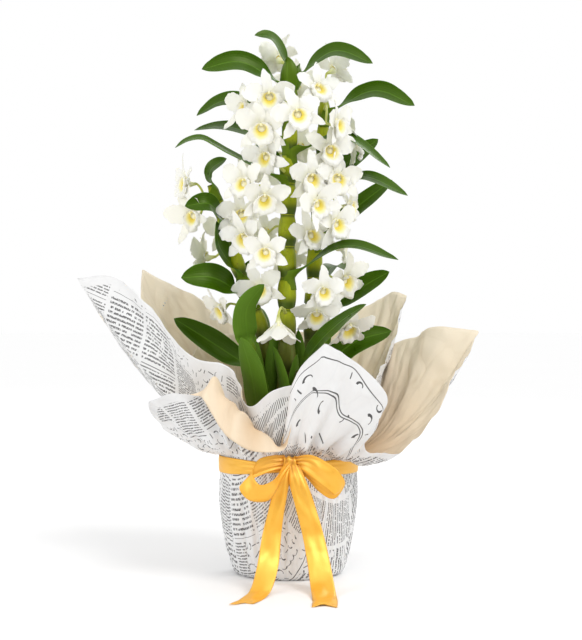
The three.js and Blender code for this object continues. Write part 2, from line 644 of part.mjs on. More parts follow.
// The band runs round the wrap just under the tie and narrows towards the knot in front.
function bandSolid() {
  const { radius, sides } = BAND;
  const ringAt = (r, sign) => Array.from({ length: sides }, (_, i) => {
    const azimuth = 360 * i / sides;
    const fromKnot = Math.abs(((azimuth - 270 + 540) % 360) - 180);
    const gathered = Math.min(1, fromKnot / BAND.gatheredDegrees);
    const width = THREE.MathUtils.lerp(BAND.knotWidth, BAND.width, gathered);
    const middle = THREE.MathUtils.lerp(BAND.knotHeight, BAND.backHeight, fromKnot / 180);
    return heading(azimuth).multiplyScalar(r).setZ(middle + sign * width / 2);
  });
  const loops = [ringAt(radius, -1), ringAt(radius + RIBBON_THICKNESS, -1),
    ringAt(radius + RIBBON_THICKNESS, 1), ringAt(radius, 1)];
  const positions = loops.flat().flatMap((p) => [p.x, p.y, p.z]);
  const triangles = [];
  for (let k = 0; k < 4; k += 1) {
    const from = k * sides;
    const to = ((k + 1) % 4) * sides;
    for (let i = 0; i < sides; i += 1) {
      const j = (i + 1) % sides;
      triangles.push(from + i, from + j, to + j, from + i, to + j, to + i);
    }
  }
  return solidFrom(positions, triangles);
}

const BOW = {
  knot: { centre: [2, -69, 108], radii: [8, 5.2, 7.5] },
  leftLoop: [
    [[-4, -71, 110], [2, 4, 12]], [[-16, -76, 109], [2, 6, 14]], [[-30, -81, 104], [4, 6, 15]],
    [[-37, -86, 96], [12, 2, 12]], [[-30, -92, 86], [10, -6, 14]], [[-16, -91, 87], [4, -4, 18]],
    [[-5, -80, 101], [0, -2, 12]], [[1, -72, 109], [0, 0, 9]],
  ],
  rightLoop: [
    [[6, -71, 110], [0, -4, 10]], [[16, -78, 110], [6, -4, 15]], [[28, -86, 104], [10, -4, 16]],
    [[40, -90, 95], [12, -2, 13]], [[45, -85, 87], [10, 6, 8]], [[38, -79, 84], [8, 6, -10]],
    [[25, -75, 91], [6, 2, -15]], [[12, -71, 103], [4, 0, -10]], [[4, -71, 108], [0, 0, -8]],
  ],
  leftTail: [
    [[0, -72, 108], [9, 0, 2]], [[-5, -78, 94], [13, 2, 3]], [[-10, -81, 72], [15, 4, 3]],
    [[-15, -85, 46], [17, 5, 2]], [[-18, -97, 22], [19, 6, 2]], [[-24, -118, 4], [19, 8, 0]],
    [[-31, -140, 0.9], [20, 7, 0]], [[-39, -161, 0.9], [20, 6, 0]],
  ],
  rightTail: [
    [[4, -73, 108], [10, 0, 1]], [[8, -80, 94], [15, 1, 1]], [[15, -83, 72], [18, 2, -1]],
    [[22, -87, 46], [19, 2, -1]], [[27, -98, 22], [20, 1, 0]], [[30, -120, 4], [21, 0, 0]],
    [[31, -146, 0.9], [21, -1, 0]], [[30, -173, 0.9], [21, -2, 0]],
  ],
  notchDepth: 8,
};

// A swallow-tail cut: a wedge taken out of the strip's end.
function notch(stations) {
  const [end, across] = stations[stations.length - 1].map((p) => vec(...p));
  const before = vec(...stations[stations.length - 2][0]);
  const along = end.clone().sub(before).normalize();
  const corner = (share, forward) => end.clone()
    .addScaledVector(across, share).addScaledVector(along, forward);
  const outline = [corner(0, -BOW.notchDepth), corner(0.5, 1), corner(-0.5, 1)];
  const above = outline.map((p) => p.clone().setZ(p.z + BOW.notchDepth));
  const below = outline.map((p) => p.clone().setZ(p.z - BOW.notchDepth));
  return orientedLoft([below, above]);
}

function knotSolid() {
  const { centre, radii } = BOW.knot;
  const ball = new THREE.IcosahedronGeometry(1, 1).scale(...radii).translate(...centre);
  return solidOf(ball);
}

function ribbonSolid() {
  const tails = [BOW.leftTail, BOW.rightTail].map((tail) => stripSolid(tail).subtract(notch(tail)));
  return union([bandSolid(), knotSolid(), stripSolid(BOW.leftLoop), stripSolid(BOW.rightLoop), ...tails]);
}

// ---------------------------------------------------------------- assembly

const orchid = new THREE.Group();

function addPart(name, solid, finish) {
  const mesh = new THREE.Mesh(geometryOf(solid), finish);
  mesh.name = name;
  orchid.add(mesh);
}

const potFinish = material(COLOURS.pot, 0.55);
const paperFinish = material(COLOURS.paper, 0.8);
const leafFinish = material(COLOURS.leaf, 0.35);

addPart("nursery_pot", potSolid(), potFinish);
addPart("bark_substrate", substrateBlock().subtract(caneClearances), material(COLOURS.substrate, 0.95));
for (const name of Object.keys(CANES)) {
  const isShoot = name.startsWith("shoot");
  const finish = material(isShoot ? COLOURS.shoot : COLOURS.cane, 0.4);
  addPart(isShoot ? name : `cane_${name}`, caneSolids[name], finish);
}
for (const [name, leaf] of Object.entries(LEAVES)) {
  addPart(name, leafSolid(leaf), leafFinish.clone());
}
for (const [name, spray] of Object.entries(SPRAYS)) {
  addPart(name, spraySolid(spray), material(COLOURS.flower, 0.5));
}
addPart("wrap_outer_sheet", sheetSolid(OUTER_SHEET_RIBS, 0), paperFinish);
addPart("wrap_inner_sheet", sheetSolid(INNER_SHEET_RIBS, PAPER.thickness + GAP), paperFinish.clone());
addPart("ribbon", ribbonSolid(), material(COLOURS.ribbon, 0.3));

export default orchid;
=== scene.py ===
import json
import math

import bmesh
import bpy
import numpy as np
from mathutils import Matrix, Vector, noise

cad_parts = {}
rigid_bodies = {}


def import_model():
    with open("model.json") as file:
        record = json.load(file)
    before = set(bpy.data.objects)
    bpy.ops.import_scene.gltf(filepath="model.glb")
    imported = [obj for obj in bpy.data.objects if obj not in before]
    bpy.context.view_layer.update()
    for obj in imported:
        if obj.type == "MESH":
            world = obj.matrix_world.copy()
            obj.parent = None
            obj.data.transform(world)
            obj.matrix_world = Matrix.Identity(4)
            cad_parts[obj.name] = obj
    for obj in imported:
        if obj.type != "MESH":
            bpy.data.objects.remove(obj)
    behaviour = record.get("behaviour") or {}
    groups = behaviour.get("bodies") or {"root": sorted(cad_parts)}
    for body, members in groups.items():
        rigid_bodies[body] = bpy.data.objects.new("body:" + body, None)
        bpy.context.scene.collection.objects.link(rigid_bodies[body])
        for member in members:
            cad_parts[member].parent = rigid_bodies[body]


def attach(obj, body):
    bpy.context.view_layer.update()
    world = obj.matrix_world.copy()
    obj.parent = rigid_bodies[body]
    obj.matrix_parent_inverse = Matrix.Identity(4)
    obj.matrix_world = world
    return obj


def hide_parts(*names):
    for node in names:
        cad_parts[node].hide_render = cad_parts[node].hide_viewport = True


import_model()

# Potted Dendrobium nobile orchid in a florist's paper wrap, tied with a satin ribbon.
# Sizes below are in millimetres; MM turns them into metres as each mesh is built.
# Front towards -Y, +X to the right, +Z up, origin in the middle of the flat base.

MM = 0.001
UP = np.array([0.0, 0.0, 1.0])
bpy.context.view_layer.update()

scene = bpy.context.scene
scene.view_settings.view_transform = "Standard"

# ---------------------------------------------------------------- driving dimensions

POT = dict(
    height=108, top=59, bottom=46, wall=2, floor=2.5, rim=61, rim_height=6,
    drain=4, drain_circle=26, drains=4, base=2.3,
)
BARK_TOP = 100.3
BARK_CROWN = 2.0
CHIPS = dict(forms=4, points=14, size=(7.0, 4.6, 2.2), seed=90)

PAPER = dict(flat_radius=40, base_radius=48, tie_height=112, tie_radius=63.6, handle=0.36)
PAPER_THICKNESS = 0.25
SHEET_INSETS = dict(outer=0.4, inner=1.55)  # middle of each sheet behind the wrap's outer face
WRAP_WALL = [(3, 51.6), (28, 57.6), (62, 62.6), (90, 63.6)]

NODE_SPACING = 29
FIRST_NODE = 100
CANE_TAPER = dict(start=300, end=470, share=0.72)

CANES = {
    "centre": dict(
        spine=[(-4, -8, 75), (-2, -10, 200), (-1, -10, 320), (3, -8, 470)],
        swell=8.8, neck=6.4, tip=3.4,
    ),
    "right": dict(
        spine=[(10, 12, 75), (20, 18, 200), (25, 20, 300), (31, 20, 385), (34, 18, 446)],
        swell=7.6, neck=5.6, tip=2.8,
    ),
    "left": dict(
        spine=[(-8, 6, 75), (-14, 5, 150), (-25, 1, 226), (-47, -3, 285), (-61, -4, 329), (-73, -5, 360)],
        swell=7.2, neck=5.2, tip=2.4,
    ),
    "shoot_left": dict(
        spine=[(-18, -20, 75), (-27, -26, 140), (-36, -31, 218)], swell=4.6, neck=4.2, tip=2.4,
    ),
    "shoot_right": dict(
        spine=[(6, -24, 75), (3, -30, 140), (9, -35, 190)], swell=4.6, neck=4.2, tip=2.4,
    ),
}

# cane, height where the leaf leaves it, midrib points out to the tip, full width, roll in degrees
LEAVES = {
    "top_left": ("centre", 458, [(-15, -15, 494), (-31, -20, 496)], 17, 45),
    "crown_left": ("centre", 446, [(-44, -22, 471), (-79, -27, 464)], 23, 60),
    "crown_right": ("centre", 452, [(42, -17, 482), (77, -22, 470)], 20, 50),
    "right_top": ("right", 425, [(80, 9, 449), (117, 0, 434)], 21, 55),
    "left_high": ("centre", 418, [(-57, 14, 441), (-86, 12, 426)], 20, 50),
    "left_upper": ("centre", 396, [(-62, 22, 417), (-89, 27, 414)], 18, 35),
    "left_long": ("centre", 360, [(-57, -26, 389), (-84, -31, 401), (-103, -33, 392)], 16, 25),
    "right_upper": ("centre", 386, [(50, -4, 405), (93, -20, 375)], 17, 30),
    "right_back": ("right", 360, [(64, 44, 391), (86, 52, 408)], 20, 50),
    "right_middle": ("right", 344, [(68, 0, 368), (110, -10, 350)], 18, 30),
    "right_behind": ("right", 308, [(68, 34, 344), (99, 42, 368)], 20, 50),
    "right_long": ("centre", 272, [(52, -36, 303), (99, -46, 290)], 17, 30),
    "left_small": ("centre", 372, [(-27, 14, 395), (-45, 18, 382)], 15, 40),
    "left_tip": ("left", 355, [(-72, -9, 373), (-57, -12, 384)], 17, 60),
    "left_upright": ("left", 318, [(-72, -28, 341), (-94, -34, 339)], 21, 60),
    "left_folded": ("left", 272, [(-64, -22, 304), (-66, -20, 326)], 26, 60),
    "left_broad": ("left", 252, [(-70, -20, 274), (-98, -27, 274)], 28, 65),
    "front_upright": ("shoot_left", 208, [(-38, -45, 246), (-22, -44, 268)], 27, 0),
    "front_low": ("shoot_left", 134, [(-34, -46, 190), (-43, -46, 220)], 29, 0),
    "back_left": ("left", 178, [(-70, 16, 212), (-108, 20, 236)], 26, 60),
    "right_broad": ("right", 236, [(66, 8, 264), (94, 4, 280)], 24, 65),
    "right_front": ("shoot_right", 172, [(22, -40, 208), (47, -42, 234), (70, -47, 250)], 27, 35),
    "front_right": ("shoot_right", 134, [(-6, -42, 182), (-14, -40, 212)], 18, 0),
    "right_low": ("right", 170, [(60, 28, 212), (98, 34, 224)], 27, 60),
    "left_inner": ("left", 236, [(-42, 14, 268), (-36, 16, 291)], 16, 50),
    "back_high": ("centre", 410, [(-8, 42, 430), (-22, 78, 424)], 20, 0),
    "back_middle": ("right", 300, [(34, 66, 327), (30, 100, 318)], 21, 0),
    "back_low": ("left", 204, [(-34, 52, 240), (-48, 84, 246)], 24, 0),
    "back_right": ("right", 258, [(44, 62, 286), (64, 92, 280)], 22, 0),
}

# short young leaves low between the canes, written as the leaves are
YOUNG_LEAVES = {
    "young_left": ("left", 120, [(-27, -8, 176), (-33, -11, 224)], 19, 0),
    "young_middle": ("left", 134, [(-14, -6, 190), (-10, -2, 230)], 16, 0),
    "young_centre": ("centre", 116, [(4, -22, 168), (8, -24, 204)], 14, 0),
    "young_right": ("right", 120, [(10, 4, 180), (9, 2, 226)], 17, 0),
    "young_side": ("right", 132, [(32, 6, 186), (40, 2, 224)], 18, 0),
    "young_back": ("centre", 112, [(-4, 20, 180), (2, 30, 232)], 22, 0),
}

# cane, height of the node, flowers as (centre, azimuth faced, elevation faced, roll), in degrees
SPRAYS = {
    "crown": ("centre", 442, [((-17, -42, 437), 265, 0, 0), ((8, -56, 420), 278, 5, 20)]),
    "top_left": ("centre", 430, [((-39, -22, 430), 205, 10, 10), ((-24, -50, 408), 262, -8, 0)]),
    "top_back": ("centre", 452, [((-10, 16, 480), 130, 30, 0), ((8, 40, 456), 85, 10, 0)]),
    "right_top": ("right", 432, [
        ((27, -26, 446), 300, 25, 0), ((44, -24, 415), 330, 0, 15), ((43, 14, 470), 30, 30, 0),
    ]),
    "upper_left": ("centre", 372, [((-20, -40, 383), 238, 0, 10)]),
    "right_upper": ("right", 396, [((38, -20, 391), 292, 5, 0), ((61, 18, 400), 5, 10, 0)]),
    "right_high": ("right", 352, [((20, -34, 364), 300, 0, 0), ((56, -6, 341), 340, 0, 0)]),
    "right_middle": ("right", 338, [((25, -49, 340), 302, 0, 25)]),
    "centre_high": ("centre", 346, [((-40, -44, 359), 235, 10, 0), ((-22, -54, 345), 290, -20, 0)]),
    "left_tip": ("left", 338, [((-94, -10, 362), 205, 5, 0), ((-88, -8, 332), 230, -10, 20)]),
    "left_inner": ("left", 312, [((-43, -20, 332), 265, 10, 0), ((-40, -36, 311), 240, -10, 10)]),
    "centre_middle": ("centre", 300, [((-20, -58, 297), 250, -5, 0)]),
    "right_centre": ("right", 306, [((20, -26, 313), 300, 14, 20), ((48, -6, 303), 350, 0, 0)]),
    "right_lower": ("right", 268, [((31, -45, 262), 292, -5, 0), ((52, -10, 272), 320, -5, 15)]),
    "right_low": ("right", 220, [((26, -19, 241), 270, -25, 0), ((56, 4, 228), 300, -40, 0)]),
    "left_back": ("left", 290, [((-78, 12, 294), 160, 0, 0), ((-60, 36, 318), 120, 5, 0)]),
    "left_low": ("left", 234, [((-62, -12, 246), 215, -25, 0), ((-26, -18, 264), 255, 0, 20)]),
    "centre_low": ("centre", 242, [((-9, -50, 231), 270, -76, 0)]),
    "back_upper": ("centre", 388, [((-26, 36, 380), 110, 0, 0), ((12, 52, 400), 80, 5, 0)]),
    "back_centre": ("centre", 316, [((-22, 40, 318), 115, -5, 0), ((4, 56, 298), 90, 0, 0)]),
    "back_right": ("right", 378, [((40, 62, 376), 65, 5, 0), ((22, 66, 357), 95, 0, 0)]),
}

# single flowers between the sprays, written as the sprays are
SINGLE_FLOWERS = {
    "right_inner": ("right", 324, [((43, -35, 323), 308, 0, 14)]),
    "right_shoulder": ("right", 366, [((45, -21, 365), 288, 6, -8)]),
}

# Each rib of a sheet: azimuth at the tie, edge point, slope at the tie, slope at the edge and,
# where it rises higher before it folds over, the curve's handles as a share of its reach
OUTER_RIBS = [
    (4, (140, 36, 228), 22, 62), (14, (120, 56, 218), 26, 64), (24, (104, 66, 211), 34, 66),
    (44, (86, 84, 190), 40, 62), (62, (60, 102, 192), 42, 60), (80, (26, 116, 204), 42, 60),
    (98, (-16, 118, 210), 42, 60), (114, (-60, 112, 230), 40, 62), (124, (-88, 104, 252), 38, 62),
    (132, (-118, 97, 270), 36, 60), (138, (-143, 86, 285), 36, 60), (148, (-142, 64, 250), 32, 54),
    (160, (-126, 38, 192), 24, 44), (172, (-110, 12, 150), 14, 36), (184, (-106, -14, 134), 10, 30),
    (195, (-114, -38, 142), 10, 32), (204, (-126, -56, 160), 12, 34), (211, (-112, -68, 168), 18, 44),
    (218, (-96, -78, 173), 28, 40), (226, (-79, -91, 172), 48, -46, 0.66),
    (233, (-67, -103, 156), 62, -70, 0.74), (241, (-53, -107, 136), 74, -80, 0.76),
    (249, (-33, -102, 124), 78, -80, 0.8), (256, (-12, -92, 122), 78, -60, 0.74),
    (261, (-1, -82, 132), 62, 20, 0.5), (265, (4, -86, 168), 60, 76), (269, (10, -94, 194), 58, 78),
    (276, (32, -104, 217), 52, 74), (283, (50, -107, 206), 46, 70), (291, (68, -107, 193), 42, 66),
    (299, (86, -99, 170), 26, 60), (306, (79, -86, 148), 10, 58), (312, (68, -73, 124), -12, 34),
    (318, (88, -65, 117), -18, 26), (325, (112, -57, 129), -14, 38), (332, (132, -42, 153), -2, 48),
    (340, (150, -24, 180), 8, 54), (348, (170, -2, 208), 16, 58), (354, (180, 14, 224), 18, 58),
]
INNER_RIBS = [
    (0, (86, 22, 186), 56, 66), (16, (92, 44, 196), 56, 68), (28, (101, 60, 212), 54, 68),
    (38, (110, 74, 236), 52, 68), (46, (116, 86, 258), 52, 68), (56, (102, 97, 260), 54, 68),
    (68, (74, 104, 246), 56, 68), (88, (24, 104, 224), 58, 68), (108, (-30, 100, 222), 58, 68),
    (128, (-70, 80, 218), 58, 68), (146, (-88, 54, 206), 58, 66), (162, (-96, 28, 184), 52, 58),
    (174, (-110, 2, 168), 50, 56), (182, (-132, -8, 184), 46, 52), (188, (-154, -6, 206), 44, 52),
    (193, (-174, 0, 238), 44, 54), (198, (-196, 2, 274), 44, 56), (203, (-164, -10, 275), 48, 60),
    (208, (-134, -22, 254), 50, 64), (215, (-110, -34, 224), 56, 66), (222, (-84, -46, 203), 62, 68),
    (229, (-60, -56, 197), 66, 74), (235, (-47, -61, 190), 70, 78), (241, (-42, -65, 168), 70, 78),
    (247, (-32, -68, 160), 70, 78), (256, (-14, -71, 174), 68, 78), (266, (10, -74, 180), 66, 78),
    (278, (34, -76, 184), 62, 76), (292, (52, -70, 176), 58, 72), (306, (62, -58, 158), 54, 64),
    (322, (72, -40, 150), 50, 60), (340, (80, -12, 166), 54, 64),
]

RIBBON_THICKNESS = 0.35
BAND = dict(
    radius=PAPER["tie_radius"] + 0.75, width=15, knot_width=8, gathered_degrees=60,
    knot_height=104, back_height=101,
)
KNOT = dict(centre=(2, -69, 108), radii=(8, 5.4, 7.2))
NOTCH_DEPTH = 8

# Stations of each strip: centre, vector across the ribbon
BOW = {
    "loop_left": [
        ((-4, -71, 110), (2, 4, 12)), ((-16, -76, 109), (2, 6, 14)), ((-30, -81, 104), (4, 6, 15)),
        ((-37, -86, 96), (12, 2, 12)), ((-30, -92, 86), (10, -6, 14)), ((-16, -91, 87), (4, -4, 18)),
        ((-5, -80, 101), (0, -2, 12)), ((1, -72, 109), (0, 0, 9)),
    ],
    "loop_right": [
        ((6, -71, 110), (0, -4, 10)), ((16, -78, 110), (6, -4, 15)), ((28, -86, 104), (10, -4, 16)),
        ((40, -90, 95), (12, -2, 13)), ((45, -85, 87), (10, 6, 8)), ((38, -79, 84), (8, 6, -10)),
        ((25, -75, 91), (6, 2, -15)), ((12, -71, 103), (4, 0, -10)), ((4, -71, 108), (0, 0, -8)),
    ],
    "tail_left": [
        ((0, -72, 108), (9, 0, 2)), ((-5, -78, 94), (13, 2, 3)), ((-10, -81, 72), (15, 4, 3)),
        ((-15, -85, 46), (17, 5, 2)), ((-18, -97, 22), (19, 6, 2)), ((-24, -118, 4), (19, 8, 0)),
        ((-31, -140, 0.9), (20, 7, 0)), ((-39, -161, 0.9), (20, 6, 0)),
    ],
    "tail_right": [
        ((4, -73, 108), (10, 0, 1)), ((8, -80, 94), (15, 1, 1)), ((15, -83, 72), (18, 2, -1)),
        ((22, -87, 46), (19, 2, -1)), ((27, -98, 22), (20, 1, 0)), ((30, -120, 4), (21, 0, 0)),
        ((31, -146, 0.9), (21, -1, 0)), ((30, -173, 0.9), (21, -2, 0)),
    ],
}

# how each run of the bow is gathered at its ends, crowned across and waved
RUNS = {
    "loop_left": dict(steps=80, fold=0.9, crown=0.7, seed=0.4),
    "loop_right": dict(steps=80, fold=0.9, crown=0.7, seed=1.7),
    "tail_left": dict(steps=110, fold=0.8, crown=0.9, seed=2.2, notch=NOTCH_DEPTH),
    "tail_right": dict(steps=110, fold=0.8, crown=0.9, seed=0.9, notch=NOTCH_DEPTH),
}

SHEET_CORNERS = (138, 198, 276, 354, 46, 211, 16)  # azimuths where a sheet's edge turns a sharp corner
SHEET_START = (6, 14, 24, 34)  # radii of a sheet's first rings under the pot
SHEET_COLUMNS = 440
WALL_STEPS = 26
FLARE_STEPS = 46
CRUMPLES = dict(outer=((34, 3.0), (12, 5.0)), inner=((34, 8.0), (12, 2.0)))  # size and seed of each kind

# the studio, in metres
STUDIO = dict(ambient=0.78, backdrop=1.0, floor_half=9.0)
SUN = dict(strength=1.03, spread=26, towards=(-0.5, 0.62, -0.85))
SOFTBOXES = {
    "side_softbox": dict(place=(-1.7, -1.2, 1.0), aim=(0.06, 0, 0.2), size=0.9, power=7.5),
    "rim_softbox": dict(place=(0.7, 1.6, 1.3), aim=(0, 0, 0.3), size=0.8, power=7),
}
CAMERA = dict(place=(0.0023, -1.5, 0.26), drop=(25, 1500), lens=90.7, sensor=36)

# ---------------------------------------------------------------- numbers and curves


def pack(*parts):
    """Points whose coordinates are the parts, each an array or a number."""
    return np.stack(np.broadcast_arrays(*parts), axis=-1)


def unit(vector):
    vector = np.asarray(vector, float)
    return vector / np.maximum(np.linalg.norm(vector, axis=-1, keepdims=True), 1e-12)


def heading(degrees):
    """Unit vector over the floor: 0 right, 90 back, 180 left, 270 front."""
    angle = np.radians(degrees)
    return pack(np.cos(angle), np.sin(angle), 0.0)


def smoothstep(low, high, value):
    t = np.clip((np.asarray(value, float) - low) / (high - low), 0, 1)
    return t * t * (3 - 2 * t)


def window(value, rise_from, rise_to, fall_from, fall_to):
    """1 between two eased flanks and 0 outside them."""
    return smoothstep(rise_from, rise_to, value) * (1 - smoothstep(fall_from, fall_to, value))


def turned(vector, axis, angle):
    """The vector turned about a unit axis, by an angle in radians."""
    c, s = math.cos(angle), math.sin(angle)
    return vector * c + np.cross(axis, vector) * s + axis * np.dot(axis, vector) * (1 - c)


def square_to(direction, hint):
    """Unit vector square to a direction and as near as it can to the hint."""
    return unit(hint - direction * np.dot(hint, direction))


def eased(t, start, end, leave, arrive):
    """Cubic from start to end with the slopes that it leaves and arrives by."""
    return (
        (2 * t**3 - 3 * t**2 + 1) * start + (t**3 - 2 * t**2 + t) * leave
        + (3 * t**2 - 2 * t**3) * end + (t**3 - t**2) * arrive
    )


class Path:
    """Smooth line through points, read by its share of length from 0 to 1."""

    STEPS = 40  # points of the line between two given ones

    def __init__(self, points):
        points = np.asarray(points, float)
        rows = np.vstack([2 * points[0] - points[1], points, 2 * points[-1] - points[-2]])
        line = [points[0]]
        for p0, p1, p2, p3 in zip(rows, rows[1:], rows[2:], rows[3:]):
            d0, d1, d2 = (max(np.linalg.norm(b - a), 1e-6) ** 0.5 for a, b in ((p0, p1), (p1, p2), (p2, p3)))
            leave = d1 * ((p1 - p0) / d0 - (p2 - p0) / (d0 + d1) + (p2 - p1) / d1)
            arrive = d1 * ((p2 - p1) / d1 - (p3 - p1) / (d1 + d2) + (p3 - p2) / d2)
            line += [eased(t, p1, p2, leave, arrive) for t in np.linspace(0, 1, self.STEPS + 1)[1:]]
        self.line = np.array(line)
        travelled = np.concatenate([[0], np.cumsum(np.linalg.norm(np.diff(self.line, axis=0), axis=1))])
        self.length = travelled[-1]
        self.share = travelled / self.length

    def at(self, t):
        return pack(*(np.interp(t, self.share, column) for column in self.line.T))

    def points(self, count):
        return self.at(np.linspace(0, 1, count))

    def tangent(self, t):
        return unit(self.at(np.minimum(t + 0.004, 1)) - self.at(np.maximum(t - 0.004, 0)))

    def at_height(self, z):
        return self.at(float(np.interp(z, self.line[:, 2], self.share)))


def smooth_table(table, position):
    """Value of a table [(position, value), ...], eased through its rows."""
    rows = np.array(table, float)
    slopes = np.gradient(rows[:, 1], rows[:, 0])
    index = np.clip(np.searchsorted(rows[:, 0], position) - 1, 0, len(rows) - 2)
    span = rows[index + 1, 0] - rows[index, 0]
    t = np.clip((position - rows[index, 0]) / span, 0, 1)
    return eased(t, rows[index, 1], rows[index + 1, 1], span * slopes[index], span * slopes[index + 1])


def rough(points, size, seed=0.0):
    """Smooth noise from -1 to 1 at points in millimetres; size is that of its lumps."""
    points = np.asarray(points, float)
    shift = Vector((seed * 7.3 + 0.5, seed * 3.1 + 0.5, seed * 1.7 + 0.5))
    values = [noise.noise(Vector(p) + shift) for p in points.reshape(-1, 3) / size]
    return np.array(values).reshape(points.shape[:-1])


def lattice(u, v):
    """Each point's u and v over a grid of rows and columns."""
    return np.meshgrid(u, v, indexing="ij")


def edge_crowded(count):
    """Numbers from -1 to 1 that crowd towards both ends."""
    return np.sin(np.linspace(-1, 1, count) * np.pi / 2)


# ---------------------------------------------------------------- meshes


class Shape:
    """Collects the surfaces of one mesh, in millimetres."""

    def __init__(self):
        self.vertices, self.faces, self.slots, self.uvs = [], [], [], []
        self.values = {}
        self.count = 0

    def add(self, vertices, faces, uvs=None, slots=0, **values):
        vertices = np.asarray(vertices, float).reshape(-1, 3)
        size = len(vertices)
        self.faces += [tuple(int(i) + self.count for i in face) for face in faces]
        self.slots += list(np.broadcast_to(slots, len(faces)))
        self.vertices.append(vertices)
        self.uvs.append(np.zeros((size, 2)) if uvs is None else np.asarray(uvs, float).reshape(-1, 2))
        for name in set(values) | set(self.values):
            column = self.values.setdefault(name, [np.zeros(self.count)])
            column.append(np.broadcast_to(values.get(name, 0.0), size).astype(float))
        self.count += size

    def add_shell(self, grid, thickness, uvs=None, wrap=False, **values):
        """Adds a thin shell round a grid of points, with the same coordinates on both sides."""
        vertices, faces, _ = shell(grid, thickness, wrap)
        self.add(vertices, faces, None if uvs is None else both(uvs), **values)

    def build(self, name, materials, uv_scale=1.0):
        mesh = bpy.data.meshes.new(name)
        mesh.from_pydata((np.concatenate(self.vertices) * MM).tolist(), [], self.faces)
        for made in materials:
            mesh.materials.append(made)
        mesh.polygons.foreach_set("material_index", np.array(self.slots, np.int32))
        mesh.polygons.foreach_set("use_smooth", np.ones(len(mesh.polygons), bool))
        corners = np.zeros(len(mesh.loops), np.int32)
        mesh.loops.foreach_get("vertex_index", corners)
        layer = mesh.uv_layers.new(name="UVMap")
        flat = (np.concatenate(self.uvs) * uv_scale)[corners]
        layer.data.foreach_set("uv", flat.astype(np.float32).ravel())
        for key, column in self.values.items():
            attribute = mesh.attributes.new(key, "FLOAT", "POINT")
            attribute.data.foreach_set("value", np.concatenate(column).astype(np.float32))
        mesh.update()
        return bpy.data.objects.new(name, mesh)


def grid_normals(grid, wrap=False):
    across = np.roll(grid, -1, 1) - np.roll(grid, 1, 1) if wrap else np.gradient(grid, axis=1)
    return unit(np.cross(np.gradient(grid, axis=0), across))


def shell(grid, thickness, wrap=False, pole=False):
    """Closed thin shell round a grid of points. The front looks along rows x columns.

    Gives the vertices, the faces and each face's side: 0 front, 1 back, 2 rim."""
    rows, columns = grid.shape[:2]
    size = rows * columns
    offset = grid_normals(grid, wrap) * (np.broadcast_to(thickness, (rows, columns))[..., None] / 2)
    vertices = np.concatenate([(grid + offset).reshape(-1, 3), (grid - offset).reshape(-1, 3)])
    index = np.arange(size).reshape(rows, columns)
    if wrap:
        index = np.hstack([index, index[:, :1]])
    corners = index[:-1, :-1], index[1:, :-1], index[1:, 1:], index[:-1, 1:]
    front = pack(*corners).reshape(-1, 4)
    faces = front.tolist() + (front[:, ::-1] + size).tolist()
    sides = [0] * len(front) + [1] * len(front)
    end, start = index[-1], index[0][::-1]
    loops = [end] if wrap else [np.concatenate([index[:, 0], end[1:], index[::-1, -1][1:], start[1:]])]
    if wrap and not pole:
        loops.append(start)
    for loop in loops:
        faces += [[q, p, p + size, q + size] for p, q in zip(loop, loop[1:])]
        sides += [2] * (len(loop) - 1)
    if pole:
        middle, lift = grid[0].mean(axis=0), offset[0].mean(axis=0)
        vertices = np.concatenate([vertices, [middle + lift, middle - lift]])
        for p, q in zip(index[0], index[0][1:]):
            faces += [[2 * size, p, q], [2 * size + 1, q + size, p + size]]
            sides += [0, 1]
    return vertices, faces, np.array(sides)


def both(values):
    """Values of a grid's points, given to both sides of its shell."""
    flat = np.asarray(values, float)
    flat = flat.reshape(-1, flat.shape[-1]) if flat.ndim == 3 else flat.ravel()
    return np.concatenate([flat, flat])


def ring_faces(rows, sides):
    """Faces round a stack of rings, then fans to the two points that follow the rings."""
    index = np.arange(rows * sides).reshape(rows, sides)
    ring_on = np.roll(index, -1, 1)
    faces = pack(index[:-1], ring_on[:-1], ring_on[1:], index[1:]).reshape(-1, 4).tolist()
    faces += [[index.size, b, a] for a, b in zip(index[0], ring_on[0])]
    return faces + [[index.size + 1, a, b] for a, b in zip(index[-1], ring_on[-1])]


def tube(line, radii, sides, hint=(1.0, 0.0, 0.0)):
    """Closed round rod along points, with a radius at each; ends in shallow domes."""
    line = np.asarray(line, float)
    along = unit(np.gradient(line, axis=0))
    side = np.array([square_to(t, np.array(hint)) for t in along])
    normal = np.cross(along, side)
    angles = np.linspace(0, 2 * np.pi, sides, endpoint=False)
    ring = side[:, None] * np.cos(angles)[None, :, None] + normal[:, None] * np.sin(angles)[None, :, None]
    grid = line[:, None] + ring * np.asarray(radii, float)[:, None, None]
    caps = [line[0] - along[0] * radii[0] * 0.4, line[-1] + along[-1] * radii[-1] * 0.4]
    return np.concatenate([grid.reshape(-1, 3), caps]), ring_faces(len(line), sides)


def revolve(profile, sides):
    """Solid of revolution whose (radius, height) profile starts and ends on the axis."""
    profile = np.asarray(profile, float)
    radius, height = profile[1:-1, :1], profile[1:-1, 1:]
    angles = np.linspace(0, 2 * np.pi, sides, endpoint=False)
    rings = pack(radius * np.cos(angles), radius * np.sin(angles), height)
    poles = [(0, 0, profile[0, 1]), (0, 0, profile[-1, 1])]
    return np.concatenate([rings.reshape(-1, 3), poles]), ring_faces(len(radius), sides)


def link(made):
    scene.collection.objects.link(made)
    return made


def show(piece, slot, *nodes):
    """Links a finished piece, rides it on the root body and lets it stand for CAD nodes."""
    if piece.name not in scene.collection.objects:
        link(piece)
    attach(piece, "root")
    if nodes:
        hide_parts(*nodes)


def discard(collection):
    """Removes a collection of forms and the objects in it."""
    for form in list(collection.objects):
        bpy.data.objects.remove(form)
    bpy.data.collections.remove(collection)


# ---------------------------------------------------------------- node trees


